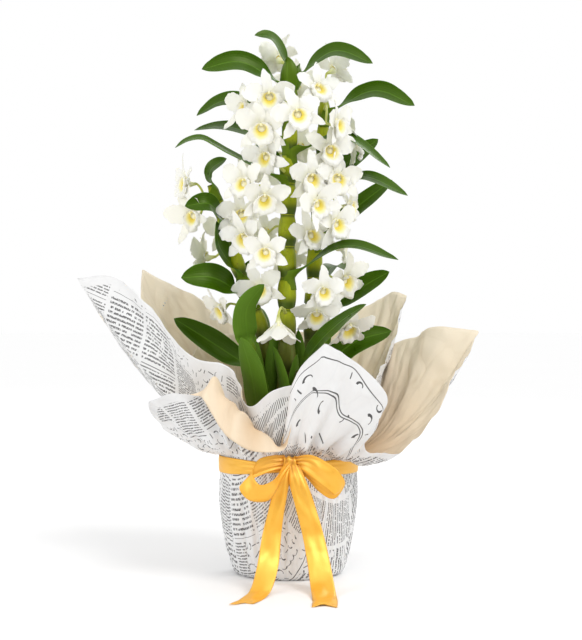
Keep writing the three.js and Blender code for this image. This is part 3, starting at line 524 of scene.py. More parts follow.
class Value:
    """A node's output that adds, multiplies and compares as a number does."""

    def __init__(self, graph, socket):
        self.graph, self.socket = graph, socket

    def __add__(self, other):
        return self.graph.math("ADD", self, other)

    def __sub__(self, other):
        return self.graph.math("SUBTRACT", self, other)

    def __rsub__(self, other):
        return self.graph.math("SUBTRACT", other, self)

    def __mul__(self, other):
        return self.graph.math("MULTIPLY", self, other)

    def __truediv__(self, other):
        return self.graph.math("DIVIDE", self, other)

    def __lt__(self, other):
        return self.graph.math("LESS_THAN", self, other)

    def __gt__(self, other):
        return self.graph.math("GREATER_THAN", self, other)

    def __abs__(self):
        return self.graph.math("ABSOLUTE", self)


class Graph:
    """Adds nodes to a tree. A node takes numbers, colours, names and other nodes' outputs."""

    def __init__(self, tree):
        self.tree = tree

    def feed(self, socket, value):
        value = value.socket if isinstance(value, Value) else value
        if isinstance(value, bpy.types.NodeSocket):
            self.tree.links.new(value, socket)
        else:
            socket.default_value = (*value, 1) if socket.type == "RGBA" else value

    def node(self, kind, inputs=None, **settings):
        made = self.tree.nodes.new(kind)
        for name, value in settings.items():
            setattr(made, name, value)
        for key, value in (inputs or {}).items():
            self.feed(made.inputs[key], value)
        return made.outputs

    def out(self, kind, inputs=None, output=0, **settings):
        return Value(self, self.node(kind, inputs, **settings)[output])

    def math(self, operation, *values):
        return self.out("ShaderNodeMath", dict(enumerate(values)), operation=operation)

    def step(self, value, low, high):
        """0 below low, 1 above high, eased between; low may be the larger."""
        inputs = {0: value, 1: low, 2: high, 3: 0.0, 4: 1.0}
        if isinstance(low, (int, float)) and low > high:
            inputs = {0: value, 1: high, 2: low, 3: 1.0, 4: 0.0}
        return self.out("ShaderNodeMapRange", inputs, interpolation_type="SMOOTHSTEP")

    def colour(self, share, a, b):
        return self.out("ShaderNodeMix", {0: share, 6: a, 7: b}, output=2, data_type="RGBA")

    def paint(self, base, *coats):
        """A colour with coats laid over it, each a share and a colour."""
        for share, colour in coats:
            base = self.colour(share, base, colour)
        return base

    def number(self, share, a, b):
        return self.out("ShaderNodeMix", {0: share, 2: a, 3: b})

    def attribute(self, name):
        return self.out("ShaderNodeAttribute", output="Fac", attribute_name=name)

    def place(self, scale=(1, 1, 1), turn=0.0, source="Object"):
        """Object or UV coordinates, turned about Z by degrees and scaled."""
        coordinates = self.out("ShaderNodeTexCoord", output=source)
        inputs = {"Vector": coordinates, "Rotation": (0, 0, math.radians(turn)), "Scale": scale}
        return self.out("ShaderNodeMapping", inputs)

    def split(self, vector):
        return [Value(self, socket) for socket in self.node("ShaderNodeSeparateXYZ", {0: vector})]

    def join(self, x, y, z=0.0):
        return self.out("ShaderNodeCombineXYZ", {0: x, 1: y, 2: z})

    def noise(self, scale, detail=2.0, roughness=0.5, distortion=0.0, over=None):
        """Noise over a vector, or over the object's coordinates where none is given."""
        return self.out("ShaderNodeTexNoise", {
            "Vector": over or self.place(), "Scale": scale, "Detail": detail, "Roughness": roughness,
            "Distortion": distortion,
        })

    def chance(self, x, y=0.0, z=0.0):
        """Random value from 0 to 1 for each cell."""
        return self.out("ShaderNodeTexWhiteNoise", {"Vector": self.join(x, y, z)})

    def cells(self, value, size):
        """Number of the cell that a value falls in, and its place there from -0.5 to 0.5."""
        scaled = value / size
        return self.math("FLOOR", scaled), self.math("FRACT", scaled) - 0.5

    def dress(self, colour, roughness, height, strength, distance):
        """Feeds the material's shader its colour, roughness and bump, and gives the material."""
        bump = self.out("ShaderNodeBump", {"Height": height, "Strength": strength, "Distance": distance})
        for name, value in {"Base Color": colour, "Roughness": roughness, "Normal": bump}.items():
            self.feed(self.shader.inputs[name], value)
        return self.material

    def store(self, geometry, name, value, domain="POINT"):
        inputs = {"Geometry": geometry, "Name": name, "Value": value}
        return self.out("GeometryNodeStoreNamedAttribute", inputs, domain=domain)

    def random(self, seed, low=0.0, high=1.0):
        inputs = {2: low, 3: high, "Seed": seed}
        return self.out("FunctionNodeRandomValue", inputs, output=1, data_type="FLOAT")

    def sweep(self, curve, section, scale):
        return self.out("GeometryNodeCurveToMesh", {
            "Curve": curve, "Profile Curve": section, "Scale": scale, "Fill Caps": True,
        })

    def scatter(self, points, forms, **inputs):
        """Instances of a collection's forms on points."""
        picked = self.out("GeometryNodeCollectionInfo", {
            "Collection": forms, "Separate Children": True, "Reset Children": True,
        })
        inputs = {key.replace("_", " "): value for key, value in inputs.items()}
        return self.out("GeometryNodeInstanceOnPoints", {
            "Points": points, "Instance": picked, "Pick Instance": True, **inputs,
        })

    def finish(self, parts, material, smooth=True):
        """Ends a geometry tree: its parts joined, realized, smooth where asked and with a material."""
        joined = self.tree.nodes.new("GeometryNodeJoinGeometry")
        for part in parts:
            self.feed(joined.inputs[0], part)
        made = self.out("GeometryNodeRealizeInstances", {0: joined.outputs[0]})
        if smooth:
            made = self.out("GeometryNodeSetShadeSmooth", {0: made})
        made = self.out("GeometryNodeSetMaterial", {"Geometry": made, "Material": material})
        self.node("NodeGroupOutput", {0: made})


def surface(name, **constants):
    """Graph of a new material; constants go straight on its Principled shader's sockets."""
    made = bpy.data.materials.new(name)
    made.use_nodes = True
    g = Graph(made.node_tree)
    g.material, g.shader = made, made.node_tree.nodes["Principled BSDF"]
    for key, value in constants.items():
        g.feed(g.shader.inputs[key.replace("_", " ")], value)
    return g


def geometry_tree(name, inputs):
    """Geometry tree with named inputs {name: (socket type, default)}; gives its graph and group input."""
    tree = bpy.data.node_groups.new(name, "GeometryNodeTree")
    for side in ("INPUT", "OUTPUT"):
        tree.interface.new_socket("Geometry", in_out=side, socket_type="NodeSocketGeometry")
    for label, (kind, default) in inputs.items():
        made = tree.interface.new_socket(label, in_out="INPUT", socket_type="NodeSocket" + kind)
        if default is not None:
            made.default_value = default
    g = Graph(tree)
    return g, g.node("NodeGroupInput")


def grown(name, source, graph, **values):
    """The plain mesh that a tree makes from a source object; the source is removed."""
    link(source)
    modifier = source.modifiers.new(graph.tree.name, "NODES")
    modifier.node_group = graph.tree
    for item in graph.tree.interface.items_tree:
        key = item.name.replace(" ", "_").lower()
        if item.in_out == "INPUT" and key in values:
            modifier[item.identifier] = values.pop(key)
    if values:
        raise ValueError(f"{graph.tree.name} has no inputs {sorted(values)}")
    depsgraph = bpy.context.evaluated_depsgraph_get()
    evaluated = source.evaluated_get(depsgraph)
    mesh = bpy.data.meshes.new_from_object(evaluated, preserve_all_data_layers=True, depsgraph=depsgraph)
    mesh.name = name
    source.modifiers.remove(modifier)
    bpy.data.objects.remove(source)
    return bpy.data.objects.new(name, mesh)


# ---------------------------------------------------------------- materials


def make_leaf_material():
    g = surface(
        "glossy_leaf", Specular_IOR_Level=0.24, Specular_Tint=(0.85, 1.0, 0.45), Subsurface_Weight=0.06,
        Subsurface_Radius=(0.4, 1.0, 0.1), Subsurface_Scale=0.0015,
    )
    across, along, _ = g.split(g.place(source="UV"))
    under = g.attribute("underside")
    spots = g.noise(60.0, 3.0)
    vein_wave = g.math("SINE", across * 30.0 + spots * 2.4)
    midrib = g.step(abs(across), 0.10, 0.02)
    green = g.paint(
        g.colour(g.noise(14.0), (0.009, 0.032, 0.0004), (0.048, 0.122, 0.0008)),
        (spots * 0.35, (0.066, 0.142, 0.001)),
        (g.step(vein_wave, 0.3, 1.0) * 0.08, (0.080, 0.20, 0.006)),
        (midrib * 0.30, (0.14, 0.30, 0.025)),
        (g.step(along, 0.45, 0.0) * 0.55, (0.10, 0.23, 0.010)),
        (under * 0.6, (0.12, 0.24, 0.022)),
        (g.attribute("sheath") * 0.8, (0.13, 0.19, 0.006)),
        (g.step(abs(across), 0.93, 1.0) * 0.5, (0.16, 0.30, 0.03)),
    )
    roughness = spots * 0.14 + (under * 0.18 + 0.24)
    return g.dress(green, roughness, vein_wave * 0.16 + spots - midrib * 2.0, 0.24, 0.0004)


def make_petal_material():
    g = surface(
        "white_petal", Sheen_Weight=0.12, Sheen_Roughness=0.5, Subsurface_Weight=0.3,
        Subsurface_Radius=(1.0, 0.95, 0.7), Subsurface_Scale=0.002,
    )
    across, along, _ = g.split(g.place(source="UV"))
    throat = g.attribute("throat")
    mottle = g.noise(240.0, 3.0, 0.6)
    veins = g.math("SINE", across * 34.0 + mottle * 2.0)
    white = g.paint(
        g.colour(g.attribute("flower_tone"), (0.925, 0.905, 0.79), (0.955, 0.945, 0.875)),
        (mottle * 0.15, (0.89, 0.875, 0.74)),
        (g.step(veins, 0.5, 1.0) * 0.06, (0.80, 0.80, 0.68)),
        (g.step(along, 0.42, 0.0) * 0.5, (0.90, 0.88, 0.56)),
    )
    yellow = g.colour(g.step(throat, 0.35, 1.0), (0.96, 0.90, 0.50), (0.94, 0.74, 0.10))
    tint = g.paint(
        white,
        (g.step(throat + (mottle - 0.5) * 0.25, 0.08, 0.45), yellow),
        (g.attribute("column"), (0.96, 0.91, 0.56)),
        (g.attribute("green"), (0.58, 0.62, 0.14)),
    )
    return g.dress(tint, mottle * 0.15 + 0.42, veins * 0.18 + mottle, 0.25, 0.0003)


def make_cane_material():
    g = surface("waxy_cane", Specular_IOR_Level=0.36, Specular_Tint=(1.0, 1.0, 0.6))
    phase = g.attribute("joint_phase")
    spots = g.noise(90.0, 4.0, 0.6)
    streak = g.noise(260.0, over=g.place(scale=(1.0, 1.0, 0.12)))
    bead = g.step(phase, 0.16, 0.5) * g.step(phase, 1.0, 0.86)
    # Darker low on the canes. This is partly the old sheaths' own dark green, partly painted shade among the
    # leaves at the plant's foot.
    low = g.step(g.split(g.place())[2], 0.250, 0.215)
    fleck = g.step(g.noise(420.0, 1.0), 0.68, 0.76)
    scar = g.math("MINIMUM", g.step(phase, 0.035, 0.01) + g.step(phase, 0.975, 1.0), 0.75)
    # Beads take a lighter yellow-green over the darker necks. This is partly the cane's own colour, partly
    # painted highlight on the swells and painted shade in the necks.
    bead_green_and_highlight = g.colour(spots, (0.24, 0.31, 0.004), (0.52, 0.56, 0.018))
    skin_with_painted_light = g.paint(
        g.colour(spots, (0.030, 0.065, 0.005), (0.085, 0.135, 0.010)),
        (bead, bead_green_and_highlight),
        (low * 0.9, g.colour(spots, (0.022, 0.036, 0.004), (0.078, 0.092, 0.012))),
        (g.step(streak, 0.45, 0.75) * 0.35, (0.11, 0.19, 0.012)),
        (fleck * 0.5, (0.16, 0.085, 0.02)),
        (scar, (0.17, 0.115, 0.05)),
    )
    ribs = g.math("SINE", g.attribute("around") * 150.0)
    return g.dress(skin_with_painted_light, spots * 0.2 + 0.28, ribs * 0.25 + (spots + streak), 0.35, 0.0004)


def make_bark_material():
    g = surface("bark_chips", Specular_IOR_Level=0.3)
    grain = g.noise(190.0, 5.0, 0.65, 0.6, over=g.place(scale=(1.0, 1.0, 2.4)))
    tone = g.attribute("chip_tone") + g.noise(34.0) * 0.3
    brown = g.colour(grain, (0.020, 0.009, 0.004), (0.13, 0.062, 0.028))
    pale = g.colour(grain, (0.055, 0.030, 0.016), (0.25, 0.145, 0.075))
    return g.dress(g.colour(g.step(tone, 0.45, 1.1), brown, pale), grain * 0.2 + 0.72, grain, 0.9, 0.0016)


def make_pot_material():
    g = surface("moulded_pot_plastic", Specular_IOR_Level=0.45)
    fine = g.noise(700.0)
    dust = g.noise(40.0, 3.0)
    rings = g.math("SINE", g.split(g.place())[2] * 2600.0)
    brown = g.colour(dust, (0.075, 0.033, 0.017), (0.13, 0.062, 0.034))
    return g.dress(brown, dust * 0.25 + 0.42, fine + rings * 0.4, 0.25, 0.0003)


def paper_grain(g):
    """Fibres, creases and soft waves of the paper, as heights."""
    flat = g.place(source="UV")
    fibres = g.noise(900.0, 3.0, 0.6)
    inputs = {"Vector": flat, "Scale": 34.0}
    crumple = g.out("ShaderNodeTexVoronoi", inputs, output="Distance", feature="DISTANCE_TO_EDGE")
    return fibres, g.step(crumple, 0.06, 0.0), g.noise(28.0, 3.0, 0.55, over=flat)


def gather_creases(g):
    """Sharp creases that run out from the tie over the flat sheet, as a height."""
    x, y, _ = g.split(g.place(source="UV"))
    reach = g.math("MAXIMUM", g.math("SQRT", x * x + y * y), 0.01)
    around = g.join(x / reach, y / reach, reach * 2.6)
    broad = abs(g.noise(3.4, 1.0, 0.5, 0.4, over=around) - 0.5)
    narrow = abs(g.noise(8.0, 1.0, 0.5, 0.6, over=around) - 0.5)
    return broad + narrow * 0.4


def make_lining_material():
    g = surface("cream_lining", Specular_IOR_Level=0.25)
    fibres, creases, waves = paper_grain(g)
    folded = gather_creases(g)
    cream = g.paint(
        g.colour(waves, (0.960, 0.850, 0.670), (0.985, 0.905, 0.760)),
        # painted warm shade on the lining, deepest at the tie and in the cuff's fold valleys
        (g.attribute("warmth"), (0.66, 0.43, 0.23)),
        # painted shade along the gather creases that run out from the tie
        (g.step(folded, 0.05, 0.0) * 0.22, (0.66, 0.50, 0.32)),
        (fibres * 0.18, (0.88, 0.71, 0.48)),
        # painted shade along the crumple creases
        (creases * 0.05, (0.72, 0.57, 0.38)),
    )
    height = fibres * 0.10 + (waves - creases * 0.06) + folded * 11.0
    return g.dress(cream, fibres * 0.12 + 0.68, height, 0.6, 0.0012)


# Newsprint in millimetres: pitch of the lines, height and width of the letters and their weight;
# for strokes, the cell's width and height, size, weight and the share of cells that hold one
TYPE_SIZES = dict(fine=(2.9, 1.4, 1.1, 0.57), medium=(4.6, 2.3, 1.6, 0.56))
STROKE_SIZES = dict(small=(6.4, 9.0, 3.5, 0.85, 0.9), large=(15.0, 19.0, 7.0, 1.7, 0.52))
BARS = dict(turn=46.0, pitch=15.0, width=2.9)
PRINT_BLOCK = (44.0, 58.0)
EDGE_LINE = 8.0
PAIRED_LINES = 42.0


def flat_sheet(g, turn):
    """Coordinates over the flat sheet in millimetres, turned by degrees."""
    return g.split(g.place(scale=(1 / MM, 1 / MM, 1), turn=turn, source="UV"))[:2]


def typed(g, a, b, pitch, height, width, weight):
    """Lines of broken dashes, as small type seen from afar."""
    line, level = g.cells(b, pitch)
    letter, _ = g.cells(a, width)
    band = g.step(abs(level), height / pitch / 2 + 0.05, height / pitch / 2 - 0.05)
    gap = g.chance(letter, line) < 0.86
    strokes = g.noise(1.0, 1.0, over=g.join(a / (width * 0.55), b / (pitch * 0.5), line))
    return band * gap * g.step(strokes, weight + 0.05, weight - 0.05)


def stroked(g, a, b, width, pitch, size, weight, share):
    """Loose pen strokes: a hook or a short bar at a turn of its own in some of the cells."""
    column, x = g.cells(a, width)
    row, y = g.cells(b, pitch)
    x, y = x * width, y * pitch
    turned_by = g.chance(column, row, 9.0) * (2 * math.pi)
    cosine, sine = g.math("COSINE", turned_by), g.math("SINE", turned_by)
    p, q = x * cosine + y * sine, y * cosine - x * sine
    reach = g.chance(column, row, 11.0) * (size * 0.5) + size * 0.6
    ring = abs(g.math("SQRT", p * p + q * q * 2.6) - reach)
    pen = g.step(p, -size, size) * (weight * 0.7) + weight * 0.35
    hook = g.step(ring - pen, 0.12, -0.12) * g.step(q, -0.3, 0.0)
    swing = g.math("SINE", p * (1.6 / size)) * (size * 0.12)
    bar = g.step(abs(q + swing) - 0.5 * weight, 0.12, -0.12)
    bar = bar * g.step(abs(p), reach * 1.02, reach * 0.98)
    mark = g.number(g.chance(column, row, 13.0) > 0.68, hook, bar)
    return mark * (g.chance(column, row, 15.0) < share)


def barred(g, turn, pitch, width):
    """Rows of short slanted bars."""
    across, along = flat_sheet(g, turn)
    row, level = g.cells(along, pitch)
    letter, place = g.cells(across, width)
    half = g.chance(letter, row, 21.0) * 0.16 + 0.30
    return g.step(abs(place), 0.22, 0.14) * g.step(abs(level) - half, 0.02, -0.02)


def printed_ink(g, turn, shift):
    """Columns of dashes, rules and squiggles that spell nothing."""
    column_width, block_height = PRINT_BLOCK
    a, b = flat_sheet(g, turn)
    warp = (g.noise(14.0, 1.0, over=g.place(source="UV")) - 0.5) * 7.0
    a = a + shift[0] + warp
    b = b + shift[1] + warp
    column = g.math("FLOOR", a / column_width)
    b = b + g.chance(column, 3.0) * block_height
    block = g.math("FLOOR", b / block_height)
    in_column = g.math("PINGPONG", a, column_width / 2)
    in_block = g.math("PINGPONG", b, block_height / 2)
    sparse = g.attribute("sparse")
    on_flap = g.step(sparse, 0.5, 0.7)
    kind = g.math("MAXIMUM", g.chance(column, block, 1.0), g.step(sparse, 0.15, 0.25) * 0.9)
    fine, medium = (typed(g, a, b, *size) for size in TYPE_SIZES.values())
    small, large = (stroked(g, a, b, *size) for size in STROKE_SIZES.values())
    is_fine, is_script = kind < 0.52, kind > 0.80
    is_medium = (1.0 - is_fine) * (1.0 - is_script)
    ink = fine * is_fine + (medium * is_medium + g.number(on_flap, small, large) * is_script)
    ink = ink * (g.step(in_column, 1.6, 2.4) * g.step(in_block, 2.6, 3.4))
    has_rule = g.chance(column, block, 7.0) > 0.45
    rule = g.step(in_block, 0.55, 0.35) * (g.step(in_column, 2.5, 3.0) * has_rule)
    ink = g.math("MAXIMUM", ink, rule * (1.0 - on_flap))
    ink = g.number(g.step(g.attribute("barred"), 0.4, 0.6), ink, barred(g, **BARS))
    border = g.attribute("border")
    drift = (g.noise(20.0, 0.0, over=g.place(source="UV")) - 0.5) * 16.0
    edge_line = g.step(abs(border + drift - EDGE_LINE), 0.60, 0.40)
    from_pair = abs(border + drift + drift * 1.2 - PAIRED_LINES)
    paired_lines = g.step(abs(from_pair - 1.5), 0.72, 0.50)
    lines = g.math("MAXIMUM", edge_line, paired_lines) * g.step(sparse, 0.3, 0.5)
    return g.math("MAXIMUM", ink * g.step(border, 9.0, 11.0), lines)


def make_newsprint_material(name, turn, shift):
    """White paper with marks that look printed; turn and shift set where they lie on the sheet."""
    g = surface(name, Specular_IOR_Level=0.25)
    ink = printed_ink(g, turn, shift)
    fibres, creases, waves = paper_grain(g)
    white = g.colour(waves, (0.765, 0.765, 0.765), (0.845, 0.845, 0.84))
    # painted shade along the crumple creases
    white = g.colour(creases * 0.10, white, (0.62, 0.62, 0.63))
    black = g.colour(fibres, (0.012, 0.012, 0.014), (0.075, 0.072, 0.072))
    height = fibres * 0.08 + (waves - creases * 0.06)
    return g.dress(g.colour(ink * 0.94, white, black), fibres * 0.12 + 0.62, height, 0.5, 0.0012)


def make_satin_material():
    g = surface(
        "satin_ribbon", Metallic=0.22, IOR=1.6, Specular_IOR_Level=0.7, Anisotropic=0.5, Sheen_Weight=0.15,
        Sheen_Roughness=0.3, Specular_Tint=(1.0, 0.90, 0.60), Sheen_Tint=(1.0, 0.86, 0.48),
    )
    across, along, _ = g.split(g.place(source="UV"))
    weft = g.math("SINE", along * 5200.0)
    warp_thread = g.math("SINE", across * 420.0)
    slub = g.noise(1.0, 3.0, over=g.join(across * 3.0, along * 900.0))
    edge = g.step(abs(across), 0.93, 0.97)
    dye_and_gather_shade = g.paint(
        g.colour(g.noise(55.0), (0.91, 0.41, 0.022), (0.96, 0.52, 0.060)),
        (slub * 0.25, (0.98, 0.63, 0.10)),
        # painted shade in the gathers and puckers next to the knot
        (g.attribute("tuck") * 0.9, (0.42, 0.09, 0.003)),
        (edge * 0.5, (0.80, 0.33, 0.006)),
    )
    height = weft * 0.12 + (warp_thread * 0.1 + (slub * 0.6 + edge * 1.5))
    return g.dress(dye_and_gather_shade, slub * 0.12 + 0.30, height, 0.25, 0.00015)


def make_floor_material():
    g = surface("pale_floor", Roughness=0.8, Specular_IOR_Level=0.0)
    tone = g.colour(g.noise(2.0), (0.965, 0.965, 0.965), (0.975, 0.975, 0.975))
    g.feed(g.shader.inputs["Base Color"], tone)
    return g.material


LEAF = make_leaf_material()
PETAL = make_petal_material()
CANE = make_cane_material()
BARK = make_bark_material()
POT_PLASTIC = make_pot_material()
LINING = make_lining_material()
NEWSPRINT = {
    "outer": make_newsprint_material("newsprint_outer", 50.0, (9.0, 16.0)),
    "inner": make_newsprint_material("newsprint_inner", 18.0, (3.0, 5.0)),
}
SATIN = make_satin_material()

# ---------------------------------------------------------------- canes

CANE_PATHS = {name: Path(cane["spine"]) for name, cane in CANES.items()}


def cane_radius(name, z):
    """Radius of a cane at a height: a neck at each node and a bead between."""
    cane = CANES[name]
    phase = ((z - FIRST_NODE) / NODE_SPACING) % 1
    bead = math.sin(math.pi * phase**0.85) ** 0.75
    taper = max(0.0, (z - CANE_TAPER["start"]) / (CANE_TAPER["end"] - CANE_TAPER["start"]))
    shrink = 1 + (CANE_TAPER["share"] - 1) * taper
    return (cane["neck"] + (cane["swell"] - cane["neck"]) * bead) * shrink


def make_cane_tree():
    """Sweeps a round section along a path; the radius follows the beads and nodes."""
    sizes = {
        "Neck radius": 6 * MM, "Swell radius": 8 * MM, "Tip radius": 3 * MM,
        "Node spacing": NODE_SPACING * MM, "First node height": FIRST_NODE * MM,
        "Taper start": CANE_TAPER["start"] * MM,
        "Taper end": CANE_TAPER["end"] * MM, "Taper share": CANE_TAPER["share"], "Ring height": 0.5 * MM,
        "Tip height": 450 * MM, "Tip rounding": 14 * MM,
    }
    inputs = {label: ("Float", size) for label, size in sizes.items()}
    g, group = geometry_tree("jointed_cane", inputs | {"Sides": ("Int", 32), "Material": ("Material", None)})
    z = g.split(g.out("GeometryNodeInputPosition"))[2]
    phase = g.math("FRACT", (z - group["First node height"]) / group["Node spacing"] + 8.0)
    bead = g.math("POWER", g.math("SINE", g.math("POWER", phase, 0.85) * math.pi), 0.75)
    reach = g.out("ShaderNodeMapRange", {
        0: z, 1: group["Taper start"], 2: group["Taper end"], 3: 1.0, 4: group["Taper share"],
    })
    ring = g.step(g.math("PINGPONG", phase, 0.5), 0.05, 0.0) * group["Ring height"]
    radius = g.number(bead, group["Neck radius"], group["Swell radius"]) * reach + ring
    near_tip = g.step(g.math("SUBTRACT", group["Tip height"], z), group["Tip rounding"], 0.0)
    radius = g.number(near_tip, radius, group["Tip radius"])
    curve = g.store(g.out("GeometryNodeMeshToCurve", {0: group["Geometry"]}), "joint_phase", phase)
    section = g.out("GeometryNodeCurvePrimitiveCircle", {"Resolution": group["Sides"], "Radius": 1.0})
    turn = g.out("GeometryNodeSplineParameter", output="Factor")
    g.finish([g.sweep(curve, g.store(section, "around", turn), radius)], group["Material"])
    return g


def make_canes():
    tree = make_cane_tree()
    for name, cane in CANES.items():
        path = CANE_PATHS[name]
        line = path.points(int(path.length)) * MM
        mesh = bpy.data.meshes.new(name + "_path")
        mesh.from_pydata(line.tolist(), [(i, i + 1) for i in range(len(line) - 1)], [])
        source = bpy.data.objects.new(name + "_path", mesh)
        is_shoot = name.startswith("shoot")
        piece = grown(
            f"{name}_stem" if is_shoot else f"{name}_cane", source, tree,
            neck_radius=cane["neck"] * MM, swell_radius=cane["swell"] * MM, tip_radius=cane["tip"] * MM,
            tip_height=float(line[-1][2]), material=CANE,
        )
        show(piece, "shoot" if is_shoot else "cane", name if is_shoot else f"cane_{name}")


# ---------------------------------------------------------------- leaves

BLADE_OUTLINE = [
    (0, 0.17), (0.12, 0.25), (0.3, 0.42), (0.5, 0.5), (0.72, 0.455), (0.88, 0.31), (0.96, 0.16), (1, 0.015),
]
BROAD_OUTLINE = [
    (0, 0.30), (0.12, 0.42), (0.3, 0.5), (0.5, 0.5), (0.72, 0.43), (0.88, 0.29), (0.96, 0.15), (1, 0.015),
]
BUD_OUTLINE = [(0, 0.36), (0.3, 0.5), (0.55, 0.47), (0.8, 0.28), (0.93, 0.12), (1, 0.01)]
LEAF_KEEL = 0.34
LEAF_THICKNESS = 0.8
SHEATH_GAP = 0.5  # sheath's radius beyond the cane's
# sheath's length, share of the way round that it reaches, blade's outline and how hollow its gutter is
LEAF_KINDS = {
    "cane": dict(sheath=9, covers=0.58, outline=BLADE_OUTLINE, hollow=0.8),
    "shoot": dict(sheath=24, covers=0.94, outline=BROAD_OUTLINE, hollow=0.45),
}
CROWN_BUD = dict(
    cane="centre", foot=448, height=29, width=25, azimuths=(250, 20, 130), lean=5.0, thickness=0.7,
)


def crown_bud_shape():
    """Three short young leaves folded round the tip of the centre cane."""
    shape = Shape()
    bud = CROWN_BUD
    foot = CANE_PATHS[bud["cane"]].at_height(bud["foot"])
    u, v = lattice(np.linspace(0, 1, 26), edge_crowded(15))
    half = bud["width"] * smooth_table(BUD_OUTLINE, u)
    radius = 6.6 + 3.4 * np.sin(np.pi * np.clip(u * 1.15, 0, 1)) - 3.0 * u**2
    for number, azimuth in enumerate(bud["azimuths"]):
        size = bud["height"] * (1 - 0.16 * number)
        out = heading(azimuth + np.degrees(half * v / radius))
        lean = heading(azimuth) * bud["lean"]
        grid = foot + out * radius[..., None] + UP * (size * u)[..., None] + lean * (u**2)[..., None]
        thickness = bud["thickness"] * (1 - 0.6 * np.abs(v) ** 3)
        shape.add_shell(grid[:, ::-1], thickness, pack(v, 0.05 + 0.5 * u), underside=0.4, sheath=0.35)
    return shape


def make_leaf(name, cane, height, midrib, width, roll, seed):
    """A blade on its clasping sheath: wrapped round the cane at the foot, opening into a shallow gutter."""
    axis = CANE_PATHS[cane]
    kind = LEAF_KINDS["shoot" if cane.startswith("shoot") else "cane"]
    blade = Path([axis.at_height(height), *midrib])
    course = unit((blade.at(1.0) - blade.at(0.0)) * (1, 1, 0))
    radius = cane_radius(cane, height) + SHEATH_GAP
    sheath = kind["sheath"]
    level = np.cross(UP, course)
    turn = math.radians(roll) * (1 if course[0] > 0 else -1)
    clear = min(0.3, (radius + 7) / blade.length)

    def on_cane(z, gap):
        return axis.at_height(z) + course * (cane_radius(cane, z) + gap)

    foot = [on_cane(height - sheath + step, SHEATH_GAP) for step in (0, sheath * 0.45, sheath - 2)]
    start = on_cane(height + 2, SHEATH_GAP + 0.6)
    line = Path([*foot, start, *blade.at(np.linspace(clear, 1, 9))])
    open_share = np.linalg.norm(start - foot[0]) / line.length
    stations = np.concatenate([
        np.linspace(0, open_share, 9)[:-1], open_share + (1 - open_share) * np.linspace(0, 1, 42) ** 0.93,
    ])
    across = edge_crowded(15)
    grid = np.zeros((len(stations), len(across), 3))
    blade_share = np.clip((stations - open_share) / (1 - open_share), 0, 1)
    half = width * smooth_table(kind["outline"], blade_share)
    wrap_half = math.pi * radius * kind["covers"]
    opening = smoothstep(-0.05, 0.16, blade_share)
    for i, t in enumerate(stations):
        along = line.tangent(t)
        side = turned(square_to(along, level), along, turn * smoothstep(0.02, 0.4, blade_share[i]))
        upward = np.cross(along, side)
        reach = wrap_half + (half[i] - wrap_half) * opening[i] if blade_share[i] > 0 else wrap_half
        gutter = 2 * LEAF_KEEL / max(half[i], 0.5) * kind["hollow"]
        bend = (1 - opening[i]) / radius + opening[i] * gutter
        arc = across * reach
        spread, rise = np.sin(arc * bend) / bend, (1 - np.cos(arc * bend)) / bend
        grid[i] = line.at(t) + np.outer(spread, side) + np.outer(rise, upward)
        wave = rough(grid[i], 26, seed) * np.abs(across) ** 1.5 * half[i] * 0.16 * opening[i]
        grid[i] += np.outer(wave, upward)
    thickness = LEAF_THICKNESS * (1 - 0.72 * np.abs(across) ** 3)[None, :]
    thickness = thickness * ((1 - 0.55 * smoothstep(0.8, 1, blade_share)) * (0.45 + 0.55 * opening))[:, None]
    u, v = lattice(blade_share, across)
    underside = np.repeat([0.0, 1.0], u.size)
    sheath_share = both(np.broadcast_to((1 - opening)[:, None], u.shape))
    shape = crown_bud_shape() if name == "top_left" else Shape()
    shape.add_shell(grid, thickness, pack(v, u), underside=underside, sheath=sheath_share)
    nodes = [f"leaf_{name}"] if name in LEAVES else []
    show(shape.build(f"{name}_leaf", [LEAF]), "leaf", *nodes)


def make_leaves():
    for number, (name, leaf) in enumerate({**LEAVES, **YOUNG_LEAVES}.items()):
        make_leaf(name, *leaf, seed=number * 1.37)


# ---------------------------------------------------------------- flowers

SEPAL_OUTLINE = [
    (0, 0.26), (0.12, 0.34), (0.35, 0.47), (0.52, 0.5), (0.72, 0.41), (0.88, 0.23), (0.96, 0.1), (1, 0.01),
]
PETAL_OUTLINE = [
    (0, 0.13), (0.1, 0.25), (0.3, 0.44), (0.5, 0.5), (0.7, 0.46), (0.86, 0.31), (0.95, 0.15), (1, 0.01),
]
FLOWER = dict(thickness=0.36, tube=3.4, mouth=12.0, mouth_top=6.8, lip_depth=7.6, column=1.25, pedicel=1.05)
# each kind of tepal: directions round the flower, length, width, how far its edges wave, its share of
# length and width in the hanging form, and the limits that the forms are drawn between
TEPALS = [
    dict(
        outline=SEPAL_OUTLINE, angles=(0, 128, -128), length=23.5, width=9.5, ripple=0.55,
        hanging=(0.80, 1.6),
        draws=dict(length=(0.9, 1.05), width=(0.9, 1.15), angle=(-9, 9), lean=(-8, 8), recurve=(0.6, 1.4)),
    ),
    dict(
        outline=PETAL_OUTLINE, angles=(64, -64), length=23, width=15.5, ripple=1.0,
        hanging=(0.80, 1.0),
        draws=dict(length=(0.94, 1.05), width=(0.88, 1.08), angle=(-8, 8), lean=(-4, 8), recurve=(0.5, 1.3)),
    ),
]
TEPAL_COLUMNS = 11
FLOWER_FORMS = 9
FLOWER_SEED = 40
SPRAY_SEED = 7
HANGING_FORM = FLOWER_FORMS - 1
HANGING = dict(lean=45, recurve=0.12, openness=0.8)
ROD_SIDES = 14


